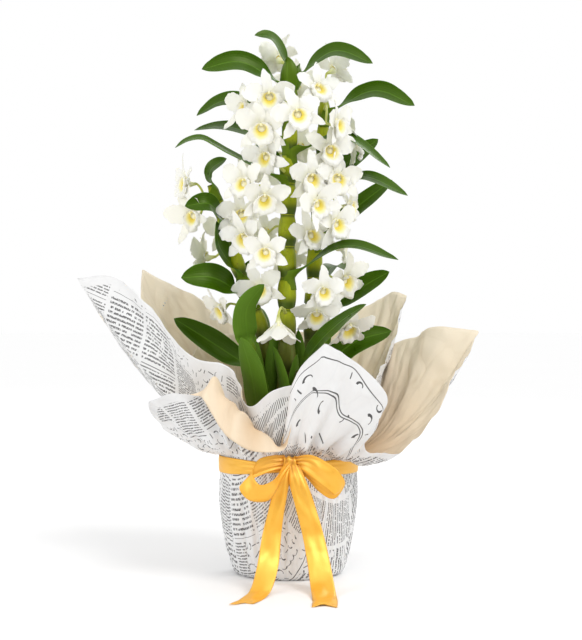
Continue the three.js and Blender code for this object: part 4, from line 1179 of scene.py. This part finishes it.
def add_tepal(shape, random, tepal, length, width, angle, lean, recurve):
    """One sepal or petal: narrow at its foot, waved at its edges and bent back at its tip."""
    u, v = lattice(np.linspace(0, 1, 22) ** 0.9, edge_crowded(TEPAL_COLUMNS))
    cup = random.uniform(0.03, 0.20)
    left, right = random.uniform(0, 50, 2)
    waves = rough(pack(u * length, np.where(v > 0, left, right), 0.0), 4.6, 1.0)
    frill = rough(pack(u * length, np.where(v > 0, right, left), 0.0), 1.9, 3.0)
    edge = np.abs(v) ** 2 * smoothstep(0.08, 0.35, u)
    x = length * (u - 0.10 * recurve * u**3)
    y = width * smooth_table(tepal["outline"], u) * (1 + 0.16 * frill * np.abs(v) ** 3) * v
    z = length * (math.tan(math.radians(lean)) * u - recurve * u**2.3)
    z += cup * np.abs(y) * np.abs(v) + tepal["ripple"] * edge * (waves * 2.2 + frill)
    z -= 0.40 * np.exp(-((v / 0.22) ** 2)) * (1 - u)
    twist = math.radians(random.uniform(-34, 34)) * u
    spine = z[:, TEPAL_COLUMNS // 2, None]
    rise = z - spine
    y, z = y * np.cos(twist) - rise * np.sin(twist), spine + rise * np.cos(twist) + y * np.sin(twist)
    sway = random.uniform(-0.13, 0.13) * length * u**2
    c, s = math.cos(math.radians(angle)), math.sin(math.radians(angle))
    x, y = x + 1.2, y + sway
    grid = pack(x * c - y * s, x * s + y * c, z - 1.2)
    shape.add_shell(grid, FLOWER["thickness"] * (1 - 0.6 * np.abs(v) ** 3), pack(v, u))


def add_lip(shape, random, openness):
    """The lip: a tube round the column that flares into a frilled trumpet with a yellow throat."""
    f = FLOWER
    u, p = lattice(np.linspace(0, 1, 24), np.radians(np.linspace(172, -172, 51)))
    below = (1 + np.cos(p)) / 2
    mouth = (f["mouth_top"] + (f["mouth"] - f["mouth_top"]) * below**0.8) * openness
    flare = smoothstep(0.14, 1.0, u) ** 0.85
    throat = f["tube"] * (1 + 0.2 * u)
    seed = random.uniform(0, 40)
    circle = pack(np.cos(p), np.sin(p), seed)
    frill = rough(circle * 3.0, 1.0, seed) * 1.3 + rough(circle * 6.5, 1.0, seed + 3) * 0.8
    other = rough(circle * 2.6, 1.0, seed + 7) * 1.5 + rough(circle * 6.0, 1.0, seed + 9)
    ruffle = np.clip(flare, 0, 1) ** 2
    radius = throat + (mouth - throat) * flare + 1.5 * frill * ruffle
    rise = np.sin(np.clip(u / 0.85, 0, 1) * np.pi / 2)
    droop = np.clip((u - 0.72) / 0.28, 0, 1) ** 2 * (0.10 + 0.34 * below)
    z = -1.6 + f["lip_depth"] * (rise - droop) + 1.7 * other * ruffle
    grid = pack(-radius * np.cos(p) - 3.2 * u + 0.6, radius * np.sin(p), z)
    yellow = (1 - smoothstep(0.16, 0.60, u - 0.08 * below)) * (0.7 + 0.3 * below)
    shape.add_shell(
        grid, f["thickness"] * (1 - 0.45 * u), pack(p / np.pi, 0.45 + 0.55 * u),
        throat=np.stack([yellow, yellow * 0.2]).ravel(),
    )
    share = np.linspace(0.05, 1, 5) * 1.02 * f["tube"]
    disc = pack(0.6 - np.outer(share, np.cos(p[0])), np.outer(share, np.sin(p[0])), -1.5)
    shape.add_shell(disc[:, ::-1], 0.3, throat=0.9)


def add_column(shape):
    """The column over the throat, with the anther cap at its end."""
    line = Path([(3.3, 0, -2.5), (3.4, 0, 0.5), (3.0, 0, 2.2), (2.4, 0, 3.5)]).points(9)
    radii = FLOWER["column"] * np.array([1.0, 1.0, 1.0, 0.98, 0.95, 1.0, 1.1, 0.95, 0.55])
    vertices, faces = tube(line, radii, ROD_SIDES, hint=(0.0, 1.0, 0.0))
    shape.add(vertices, faces, column=1.0)


def add_ovary(shape):
    """The swollen base and short spur behind the flower, where the stalk enters."""
    line = Path([(-0.2, 0, 0.2), (-1.0, 0, -2.4), (-0.6, 0, -5.4), (0, 0, -9.5)]).points(10)
    radii = np.array([2.4, 3.1, 3.2, 2.9, 2.4, 2.0, 1.7, 1.45, 1.25, 1.1])
    vertices, faces = tube(line, radii, ROD_SIDES, hint=(0.0, 1.0, 0.0))
    depth = np.repeat(np.clip(np.linspace(-0.15, 1.15, 10), 0, 1), ROD_SIDES)
    shape.add(vertices, faces, green=np.concatenate([depth, [0.0, 1.0]]))


def make_flower_forms():
    """Flowers of one kind that differ in how far they are open, their ruffles and their tilt."""
    collection = bpy.data.collections.new("flower_forms")
    for number in range(FLOWER_FORMS):
        random = np.random.default_rng(FLOWER_SEED + number)
        hanging = number == HANGING_FORM
        lean = HANGING["lean"] if hanging else random.uniform(8, 30)
        recurve = HANGING["recurve"] if hanging else random.uniform(0.12, 0.42)
        shape = Shape()
        for tepal in TEPALS:
            short, broad = tepal["hanging"] if hanging else (1.0, 1.0)
            for angle in tepal["angles"]:
                drawn = [random.uniform(*limits) for limits in tepal["draws"].values()]
                length, width, swing, tilt, curl = drawn
                add_tepal(
                    shape, random, tepal, tepal["length"] * short * length, tepal["width"] * broad * width,
                    angle + swing, lean + tilt, recurve * curl,
                )
        add_lip(shape, random, HANGING["openness"] if hanging else random.uniform(0.92, 1.06))
        add_column(shape)
        add_ovary(shape)
        collection.objects.link(shape.build(f"flower_form_{number}", [PETAL]))
    return collection


def make_spray_tree():
    """Stalks swept along the spray's edges, with a flower form set on each flower point."""
    g, group = geometry_tree("flower_spray", {
        "Flower forms": ("Collection", None), "Stalk radius": ("Float", FLOWER["pedicel"] * MM),
        "Stalk sides": ("Int", 10), "Uneven": ("Float", 1.6 * MM), "Seed": ("Int", 1),
        "Material": ("Material", None),
    })

    def named(name, kind):
        return g.out("GeometryNodeInputNamedAttribute", {"Name": name}, data_type=kind)

    blooms = g.scatter(
        group["Geometry"], group["Flower forms"], Selection=named("is_flower", "BOOLEAN"),
        Instance_Index=named("form", "INT"), Rotation=named("turn", "QUATERNION"),
        Scale=named("size", "FLOAT"),
    )
    blooms = g.store(blooms, "flower_tone", g.random(group["Seed"]), domain="INSTANCE")
    blooms = g.out("GeometryNodeRealizeInstances", {0: blooms})
    lumps = g.out(
        "ShaderNodeTexNoise", {"Vector": g.out("GeometryNodeInputPosition"), "Scale": 75.0, "Detail": 1.0},
        output="Color",
    )
    push = g.out("ShaderNodeVectorMath", {0: lumps, 1: (0.5, 0.5, 0.5)}, operation="SUBTRACT")
    shift = g.out("ShaderNodeVectorMath", {0: push, "Scale": group["Uneven"]}, operation="SCALE")
    blooms = g.out("GeometryNodeSetPosition", {"Geometry": blooms, "Offset": shift})
    stalks = g.store(g.out("GeometryNodeMeshToCurve", {0: group["Geometry"]}), "green", 1.0)
    section = g.out("GeometryNodeCurvePrimitiveCircle", {
        "Resolution": group["Stalk sides"], "Radius": group["Stalk radius"],
    })
    g.finish([blooms, g.sweep(stalks, section, named("thickness", "FLOAT"))], group["Material"])
    return g


def facing(azimuth, elevation):
    return heading(azimuth) * math.cos(math.radians(elevation)) + UP * math.sin(math.radians(elevation))


def spray_source(name, cane, height, flowers, random):
    """Points along each flower's stalk, ending in the flower's own point."""
    start = CANE_PATHS[cane].at_height(height)
    middle = np.mean([centre for centre, *_ in flowers], axis=0)
    outward = unit((middle - start) * (1, 1, 0))
    radius = cane_radius(cane, height)
    fork = start + outward * (radius + 5) + UP * 3
    points, edges, rows = [], [], []

    def strand(line, thick, thin):
        first = len(points)
        points.extend(line)
        edges.extend((first + i, first + i + 1) for i in range(len(line) - 1))
        sizes = np.linspace(thick, thin, len(line)).tolist()
        rows.extend((False, 0, (1, 0, 0, 0), 1.0, size) for size in sizes)

    stem = Path([start + outward * (radius - 2), start + outward * (radius + 2) + UP, fork])
    strand(stem.points(6), 1.7, 1.5)
    for centre, azimuth, elevation, roll in flowers:
        forward = facing(azimuth, elevation)
        centre = np.array(centre, float)
        behind = centre - forward * 10
        shoulder = fork + (behind - fork) * 0.55 + UP * 4
        strand(Path([fork, shoulder, behind, centre - forward * 5]).points(22), 1.15, 1.0)
        top = turned(square_to(forward, UP), forward, math.radians(roll))
        basis = Matrix(pack(top, np.cross(forward, top), forward).tolist())
        is_hanging = elevation < -50
        form = HANGING_FORM if is_hanging else int(random.integers(0, HANGING_FORM))
        points.append(centre)
        rows.append((True, form, tuple(basis.to_quaternion()), float(random.uniform(1.0, 1.12)), 1.0))
    mesh = bpy.data.meshes.new(name)
    mesh.from_pydata((np.array(points) * MM).tolist(), edges, [])
    kinds = dict(is_flower="BOOLEAN", form="INT", turn="QUATERNION", size="FLOAT", thickness="FLOAT")
    for column, (key, kind) in enumerate(kinds.items()):
        attribute = mesh.attributes.new(key, kind, "POINT")
        for item, row in zip(attribute.data, rows):
            item.value = row[column]
    return bpy.data.objects.new(name, mesh)


def make_sprays():
    forms = make_flower_forms()
    tree = make_spray_tree()
    random = np.random.default_rng(SPRAY_SEED)
    for number, (name, (cane, height, flowers)) in enumerate({**SPRAYS, **SINGLE_FLOWERS}.items()):
        source = spray_source(name, cane, height, flowers, random)
        piece = grown(f"{name}_flowers", source, tree, flower_forms=forms, seed=number, material=PETAL)
        nodes = [f"spray_{name}"] if name in SPRAYS else []
        show(piece, "flower", *nodes)
    discard(forms)


# ---------------------------------------------------------------- pot and growing medium


def make_pot():
    p = POT
    top, bottom, height, rim, floor = (p[key] for key in ("top", "bottom", "height", "rim", "floor"))
    under_rim, inner_top, inner_bottom = height - p["rim_height"], top - p["wall"], bottom - p["wall"]
    vertices, faces = revolve([
        (0, 0), (bottom - 1.5, 0), (bottom - 0.4, 0.4), (bottom, 1.5), (top - 0.3, under_rim - 0.6),
        (top + 0.6, under_rim), (rim - 0.5, under_rim + 0.2), (rim, under_rim + 0.8), (rim, height - 0.9),
        (rim - 0.4, height - 0.15), (rim - 1.0, height), (top - 1.2, height), (inner_top, height - 0.8),
        (inner_top - 0.1, height - 2), (inner_bottom, floor + 1), (inner_bottom - 1, floor), (0, floor),
    ], sides=96)
    shape = Shape()
    shape.add(vertices + UP * p["base"], faces)
    pot = link(shape.build("nursery_pot_shell", [POT_PLASTIC]))
    drains = Shape()
    for number in range(p["drains"]):
        middle = heading(45 + 360 * number / p["drains"]) * p["drain_circle"]
        drains.add(*tube([middle - UP * 4, middle + UP * 12], [p["drain"]] * 2, sides=32))
    cutter = link(drains.build("drain_cutter", []))
    cut = pot.modifiers.new("drains", "BOOLEAN")
    cut.operation, cut.solver, cut.object = "DIFFERENCE", "EXACT", cutter
    depsgraph = bpy.context.evaluated_depsgraph_get()
    mesh = bpy.data.meshes.new_from_object(pot.evaluated_get(depsgraph), depsgraph=depsgraph)
    pot.modifiers.remove(cut)
    pot.data = mesh
    bpy.data.objects.remove(cutter)
    mesh.set_sharp_from_angle(angle=math.radians(50))
    show(pot, "pot_plastic", "nursery_pot")


def make_chip_tree():
    """Scatters bark chips over the top of the medium."""
    g, group = geometry_tree("bark_layer", {
        "Chips": ("Collection", None), "Spacing": ("Float", 4.5 * MM), "Density": ("Float", 60000.0),
        "Edge radius": ("Float", 47 * MM), "Seed": ("Int", 3), "Material": ("Material", None),
    })
    x, y, _ = g.split(g.out("GeometryNodeInputPosition"))
    upward = g.split(g.out("GeometryNodeInputNormal"))[2]
    on_top = (g.math("SQRT", x * x + y * y) < group["Edge radius"]) * (upward > 0.6)
    points = g.out("GeometryNodeDistributePointsOnFaces", {
        "Mesh": group["Geometry"], "Distance Min": group["Spacing"], "Density Max": group["Density"],
        "Density Factor": on_top, "Seed": group["Seed"],
    }, distribute_method="POISSON")
    spin = g.out(
        "FunctionNodeRandomValue", {0: (-0.5, -0.5, 0.0), 1: (0.5, 0.5, 6.283), "Seed": group["Seed"]},
        data_type="FLOAT_VECTOR",
    )
    layer = g.scatter(
        points, group["Chips"], Rotation=g.out("FunctionNodeEulerToRotation", {0: spin}),
        Scale=g.random(group["Seed"], 0.65, 1.25),
    )
    layer = g.store(layer, "chip_tone", g.random(group["Seed"]), domain="INSTANCE")
    g.finish([group["Geometry"], layer], group["Material"], smooth=False)
    return g


def make_chips():
    """Angular bark chips, each a rough slab with broken edges."""
    collection = bpy.data.collections.new("chip_forms")
    for number in range(CHIPS["forms"]):
        random = np.random.default_rng(CHIPS["seed"] + number)
        corners = random.uniform(-1, 1, (CHIPS["points"], 3)) * CHIPS["size"]
        source = bpy.data.meshes.new("chip_points")
        source.from_pydata((corners * MM).tolist(), [], [])
        solid = bmesh.new()
        solid.from_mesh(source)
        hull = bmesh.ops.convex_hull(solid, input=solid.verts)
        loose = {v for v in hull["geom_interior"] + hull["geom_unused"] if isinstance(v, bmesh.types.BMVert)}
        bmesh.ops.delete(solid, geom=list(loose), context="VERTS")
        bmesh.ops.recalc_face_normals(solid, faces=solid.faces)
        solid.to_mesh(source)
        solid.free()
        collection.objects.link(bpy.data.objects.new(f"chip_form_{number}", source))
    return collection


def make_bark():
    p = POT
    top = BARK_TOP
    bottom = p["base"] + p["floor"] + 0.4
    slope = (p["top"] - p["bottom"]) / (p["height"] - p["rim_height"])

    def wall(z):
        return p["bottom"] - p["wall"] + slope * (z - p["base"]) - 0.6

    vertices, faces = revolve([
        (0, bottom), (wall(bottom), bottom), (wall(60), 60), (wall(top - 3), top - 3), (wall(top) - 3, top),
        (30, top + BARK_CROWN * 0.6), (12, top + BARK_CROWN), (0, top + BARK_CROWN),
    ], sides=72)
    on_top = vertices[:, 2] > top - 1
    vertices[on_top, 2] += rough(vertices[on_top], 9, 4.0) * 1.2 - 1.5
    shape = Shape()
    shape.add(vertices, faces)
    chips = make_chips()
    body = shape.build("bark_body", [BARK])
    piece = grown("bark_medium", body, make_chip_tree(), chips=chips, material=BARK)
    discard(chips)
    show(piece, "bark", "bark_substrate")


# ---------------------------------------------------------------- paper wrap


def around_ribs(ribs, azimuth, pick):
    """Value of the ribs at azimuths, eased from one rib to the next all the way round."""
    rows = sorted(ribs, key=lambda rib: rib[0])
    places = np.array([rib[0] for rib in rows], float)
    values = np.array([pick(rib) for rib in rows], float)
    places = np.concatenate([places[-2:] - 360, places, places[:3] + 360])
    values = np.concatenate([values[-2:], values, values[:3]])
    index = np.searchsorted(places, azimuth, side="right") - 1
    t = (azimuth - places[index]) / (places[index + 1] - places[index])
    before, start, end, after = (values[index + step] for step in (-1, 0, 1, 2))
    is_corner = np.isin(np.round(places % 360), SHEET_CORNERS)
    leave = np.where(is_corner[index], end - start, (end - before) / 2)
    arrive = np.where(is_corner[index + 1], end - start, (after - start) / 2)
    return eased(t, start, end, leave, arrive)


def pleat_wave(azimuth, count, seed):
    """Sharp crests and round valleys round the tie, from -1 to 1, unevenly spaced."""
    circle = heading(azimuth) * 3.1
    warp = rough(circle, 1.0, seed) * 2.6 + rough(circle * 3, 1.0, seed + 2) * 0.9
    return 1 - 2 * np.abs(np.sin(count / 2 * np.radians(azimuth) + warp)) ** 0.75


def smooth_sheet(ribs, azimuth, inset):
    """A sheet without its folds: rows of points from under the pot to the edge, and the tie's row."""
    out = heading(azimuth)
    tie_radius, tie_height = PAPER["tie_radius"] - inset, PAPER["tie_height"] + inset
    wall = Path([
        (PAPER["base_radius"] - inset, inset), *((r - inset, z + inset) for z, r in WRAP_WALL),
        (tie_radius, tie_height),
    ])
    flat_radii = (*SHEET_START, PAPER["flat_radius"], 44, PAPER["base_radius"] - inset - 2)
    lower = np.vstack([[(r, inset) for r in flat_radii], wall.points(WALL_STEPS)])
    tie = out * tie_radius + UP * tie_height
    edge = pack(*(around_ribs(ribs, azimuth, lambda rib, k=k: rib[1][k]) for k in range(3)))
    tie_slope = np.radians(around_ribs(ribs, azimuth, lambda rib: rib[2]))[:, None]
    edge_slope = np.radians(around_ribs(ribs, azimuth, lambda rib: rib[3]))[:, None]
    handle = around_ribs(ribs, azimuth, lambda rib: rib[4] if len(rib) > 4 else PAPER["handle"])[:, None]
    reach = np.linalg.norm(edge - tie, axis=1)[:, None] * handle
    outward = unit((edge - tie) * (1, 1, 0))
    leaving = tie + (out * np.cos(tie_slope) + UP * np.sin(tie_slope)) * reach
    arriving = edge - (outward * np.cos(edge_slope) + UP * np.sin(edge_slope)) * reach
    rows = [out * r + UP * z for r, z in lower]
    for t in np.linspace(0, 1, FLARE_STEPS + 1)[1:]:
        s = 1 - t
        rows.append(s**3 * tie + 3 * s**2 * t * leaving + 3 * s * t**2 * arriving + t**3 * edge)
    return np.array(rows), len(lower) - 1


def cuff_wave(azimuth):
    """The rolled cuff's own folds at the front left of the outer sheet, and where the cuff is."""
    at_cuff = window(azimuth, 218, 226, 250, 256)[None]
    return at_cuff * pleat_wave(azimuth, 27, 11.0)[None], at_cuff


def fold_lift(name, azimuth, travelled, above, below, flat):
    """How far pleats, folds and creases lift a sheet off its smooth course."""
    fine_size = 0.35 + 2.0 * smoothstep(0.5, 9, above) * np.exp(-above / 24)
    fine_size += 0.9 * smoothstep(14, 26, below) * np.exp(-below / 34)
    fold_size = 3.8 * smoothstep(3, 26, above) * np.exp(-above / 80)
    fold_size += 1.5 * smoothstep(16, 40, below) * (travelled > 70)
    lift = pleat_wave(azimuth, 46, 1.0)[None] * (fine_size * smoothstep(46, 60, travelled))
    lift = lift + pleat_wave(azimuth, 19, 5.0)[None] * (fold_size * smoothstep(46, 70, travelled))
    lift += pleat_wave(azimuth, 9, 9.0)[None] * (2.2 * smoothstep(15, 60, above))
    at_front = window(azimuth, 250, 262, 318, 332)[None]
    gather_size = 1.5 * smoothstep(0.5, 8, above) * np.exp(-above / 20)
    flap_size = 6.2 * smoothstep(3, 20, above) * np.exp(-above / 44)
    lift += at_front * (
        pleat_wave(azimuth, 84, 3.0)[None] * gather_size + pleat_wave(azimuth, 29, 7.0)[None] * flap_size
    )
    if name == "outer":
        lift += cuff_wave(azimuth)[0] * 4.2 * smoothstep(4, 16, above) * (1 - 0.6 * smoothstep(26, 44, above))
    spots = pack(flat[..., 0], flat[..., 1], 0.0)
    crumple, small = (rough(spots, size, seed) for size, seed in CRUMPLES[name])
    loose = smoothstep(8, 50, above)
    ridges = (1 - 2 * np.abs(crumple)) * 1.5 * loose + small * 0.5 * (0.25 + loose) * (travelled > 60)
    return lift + ridges


def print_zones_and_tie_shade(name, azimuth, travelled, above):
    """Where the outside's marks are sparse, where they are bars, and the lining's painted warm shade near the
    tie and on the cuff.
    """
    sparse, barred = np.zeros((2, *travelled.shape))
    # painted shade on the lining, fading out from the tie
    warmth = np.exp(-above / 52) * (above > 0)
    if name == "inner":
        barred = window(azimuth, 233, 236, 262, 268)[None] * smoothstep(6, 12, above)
    else:
        low = window(travelled, 52, 60, 92, 104)
        front = window(azimuth, 222, 232, 286, 294)[None]
        sparse = window(azimuth, 256, 262, 309, 314)[None] * smoothstep(12, 24, above) + 0.35 * front * low
        wave, at_cuff = cuff_wave(azimuth)
        # on the cuff the painted shade deepens in the fold valleys and darkens the whole cuff
        warmth = np.clip(warmth * (1 - 0.45 * wave) + 0.24 * at_cuff, 0, 1)
    return dict(sparse=sparse, barred=barred, warmth=warmth)


def make_sheet(name, ribs):
    """One square of paper, gathered up round the pot, pleated at the tie and flaring above it."""
    inset = SHEET_INSETS[name]
    azimuth = np.arange(SHEET_COLUMNS) * 360 / SHEET_COLUMNS
    grid, tie_row = smooth_sheet(ribs, azimuth, inset)
    steps = np.linalg.norm(np.diff(grid, axis=0), axis=2)
    travelled = np.vstack([np.zeros((1, SHEET_COLUMNS)), np.cumsum(steps, axis=0)]) + SHEET_START[0]
    flat = heading(azimuth)[None, :, :2] * travelled[..., None]
    from_tie = travelled - travelled[tie_row]
    above, below = np.clip(from_tie, 0, None), np.clip(-from_tie, 0, None)
    lift = fold_lift(name, azimuth, travelled, above, below, flat)
    grid = grid + grid_normals(grid, wrap=True) * lift[..., None]
    grid[..., 2] = np.maximum(grid[..., 2], inset * 0.9)
    vertices, faces, sides = shell(grid, PAPER_THICKNESS, wrap=True, pole=True)
    values = print_zones_and_tie_shade(name, azimuth, travelled, above)
    values = {key: np.concatenate([both(value), [0, 0]]) for key, value in values.items()}
    border = np.concatenate([both(travelled[-1] - travelled), [99, 99]])
    uvs = np.concatenate([both(flat), np.zeros((2, 2))])
    shape = Shape()
    shape.add(vertices, faces, uvs, slots=np.where(sides == 0, 0, 1), border=border, **values)
    piece = shape.build(f"{name}_paper_sheet", [LINING, NEWSPRINT[name]], uv_scale=MM)
    show(piece, "wrap_paper", f"wrap_{name}_sheet")
    return piece


def make_wrap():
    for name, ribs in (("outer", OUTER_RIBS), ("inner", INNER_RIBS)):
        piece = make_sheet(name, ribs)


# ---------------------------------------------------------------- ribbon


def strip(shape, stations, steps, fold, crown, seed, notch=0.0):
    """A ribbon's run through stations, a little crowned across and soft along its edges. Gives its length."""
    centres = Path([centre for centre, _ in stations])
    across_at = np.array([across for _, across in stations], float)
    t = np.linspace(0, 1, steps)
    middle = centres.at(t)
    places = centres.share[::Path.STEPS]
    span = pack(*(smooth_table(pack(places, column), t) for column in across_at.T))
    v = np.linspace(-1, 1, 13)
    along = unit(np.gradient(middle, axis=0))
    travelled = t * centres.length
    from_ends = np.exp(-t * 7) + np.exp(-(1 - t) * 7) * (notch == 0)
    pucker = np.cos(v * np.pi * 3.5 + seed)
    waves = rough(pack(travelled[:, None] / 20, v[None] * 1.15, seed), 1.0, seed)
    waves = waves * 2.0 * smoothstep(0, 12, travelled)[:, None]
    lift = crown * (1 - v**2)[None] + fold * np.outer(from_ends, pucker) + waves
    grid = middle[:, None] + span[:, None] * (v / 2)[None, :, None]
    grid += unit(np.cross(along, span))[:, None] * lift[..., None]
    if notch:
        share = np.outer(smoothstep(0.80, 1.0, t), (1 - np.abs(v)) * notch)
        grid -= along[:, None] * share[..., None]
    grid[..., 2] = np.maximum(grid[..., 2], RIBBON_THICKNESS * 0.6)
    from_knot = travelled if notch else np.minimum(travelled, centres.length - travelled)
    # painted shade in the pucker valleys near the knot, fading along the run
    tuck = np.outer(np.exp(-from_knot / 11), 0.55 - 0.45 * pucker)
    shape.add_shell(grid, RIBBON_THICKNESS, pack(v[None], travelled[:, None] * MM), tuck=both(tuck))
    return centres.length


def band(shape):
    """The band round the wrap, gathered into pleats towards the knot. Gives its length."""
    azimuth = np.arange(0, 360, 1.5)
    out = heading(azimuth)
    from_knot = np.abs((azimuth - 270 + 540) % 360 - 180)
    gathered = np.clip(from_knot / BAND["gathered_degrees"], 0, 1)
    width = BAND["knot_width"] + (BAND["width"] - BAND["knot_width"]) * smoothstep(0, 1, gathered)
    middle = BAND["knot_height"] + (BAND["back_height"] - BAND["knot_height"]) * from_knot / 180
    v = np.linspace(-1, 1, 15)
    height = middle[None] + v[:, None] * width[None] / 2
    pleats = 0.75 * np.cos(v * np.pi * 3)[:, None] * (1 - smoothstep(0.1, 1.1, gathered))[None]
    soft = 0.35 * rough(pack(out[None, :, 0] * 60, out[None, :, 1] * 60, height * 2.2), 14, 2.0)
    radius = BAND["radius"] + 0.5 * (1 - v[:, None] ** 2) + pleats + np.abs(soft)
    grid = out[None] * radius[..., None] + UP * height[..., None]
    uvs = pack(*lattice(v, np.radians(azimuth) * BAND["radius"] * MM))
    # painted shade in the pleat valleys, fading away from the knot
    tuck = np.outer(0.5 - 0.5 * np.cos(v * np.pi * 3), np.exp(-from_knot / 9))
    shape.add_shell(grid, RIBBON_THICKNESS, uvs, wrap=True, tuck=both(tuck))
    return 2 * math.pi * BAND["radius"]


def knot(shape):
    """The wrapped middle of the bow: a puckered pad of satin, open where the loops enter."""
    rows, sides = 28, 48
    theta, phi = lattice(
        np.linspace(0.001, np.pi - 0.001, rows), np.linspace(0, 2 * np.pi, sides, endpoint=False),
    )
    ball = pack(np.cos(theta), np.sin(theta) * np.cos(phi), np.sin(theta) * np.sin(phi))
    square = np.sign(ball) * np.abs(ball) ** 0.8
    creases = 1 + 0.10 * np.cos(theta * 11) * np.sin(theta) + 0.05 * np.sin(phi * 3 + theta * 4)
    grid = np.array(KNOT["centre"]) + square * KNOT["radii"] * creases[..., None]
    # painted shade in the knot's creases
    tuck = 0.35 - 0.35 * np.cos(theta * 11)
    faces = ring_faces(rows, sides)[:-2 * sides]
    shape.add(grid, faces, pack(np.cos(theta), phi * 0.006), tuck=tuck.ravel())


def make_ribbon():
    shape = Shape()
    length = band(shape)
    knot(shape)
    length += sum(strip(shape, BOW[name], **run) for name, run in RUNS.items())
    piece = shape.build("satin_bow", [SATIN])
    show(piece, "ribbon_satin", "ribbon")


# ---------------------------------------------------------------- studio


def softbox(name, place, aim, size, power):
    lamp = bpy.data.lights.new(name, "AREA")
    lamp.shape, lamp.size, lamp.energy = "DISK", size, power
    made = link(bpy.data.objects.new(name, lamp))
    made.location = place
    made.rotation_euler = (Vector(aim) - Vector(place)).to_track_quat("-Z", "Y").to_euler()


def make_floor():
    mesh = bpy.data.meshes.new("studio_floor")
    half = STUDIO["floor_half"]
    corners = [(-half, -half, 0), (half, -half, 0), (half, half, 0), (-half, half, 0)]
    mesh.from_pydata(corners, [], [(0, 1, 2, 3)])
    mesh.materials.append(make_floor_material())
    link(bpy.data.objects.new("studio_floor", mesh))


def make_sky():
    """Even ambient light and a white backdrop; glossy rays see soft panels overhead and at both sides."""
    world = bpy.data.worlds.new("studio_world")
    scene.world = world
    world.use_nodes = True
    g = Graph(world.node_tree)
    x, _, z = g.split(g.out("ShaderNodeTexCoord", output="Generated"))
    level = g.step(z, -0.1, 0.25)
    at_sides = g.step(x, 0.35, 0.75) * level * 1.8 + g.step(x, -0.55, -0.85) * level * 0.9
    panels = g.step(z, 0.15, 0.75) * 1.5 + at_sides
    rays = g.node("ShaderNodeLightPath")
    strength = g.number(rays["Is Glossy Ray"], STUDIO["ambient"], panels + 0.10)
    strength = g.number(rays["Is Camera Ray"], strength, STUDIO["backdrop"])
    background = world.node_tree.nodes["Background"]
    g.feed(background.inputs["Color"], (1.0, 1.0, 1.0))
    g.feed(background.inputs["Strength"], strength)


def make_studio():
    make_floor()
    sun = bpy.data.lights.new("key_light", "SUN")
    sun.energy, sun.angle = SUN["strength"], math.radians(SUN["spread"])
    key = link(bpy.data.objects.new("key_light", sun))
    key.rotation_euler = Vector(SUN["towards"]).to_track_quat("-Z", "Y").to_euler()
    for name, box in SOFTBOXES.items():
        softbox(name, **box)
    make_sky()


def make_camera():
    data = bpy.data.cameras.new("studio_camera")
    data.lens, data.sensor_width = CAMERA["lens"], CAMERA["sensor"]
    camera = link(bpy.data.objects.new("studio_camera", data))
    camera.location = CAMERA["place"]
    camera.rotation_euler = (math.radians(90) - math.atan2(*CAMERA["drop"]), 0, 0)
    scene.camera = camera


make_camera()
make_studio()
make_pot()
make_bark()
make_canes()
make_leaves()
make_sprays()
make_wrap()
make_ribbon()
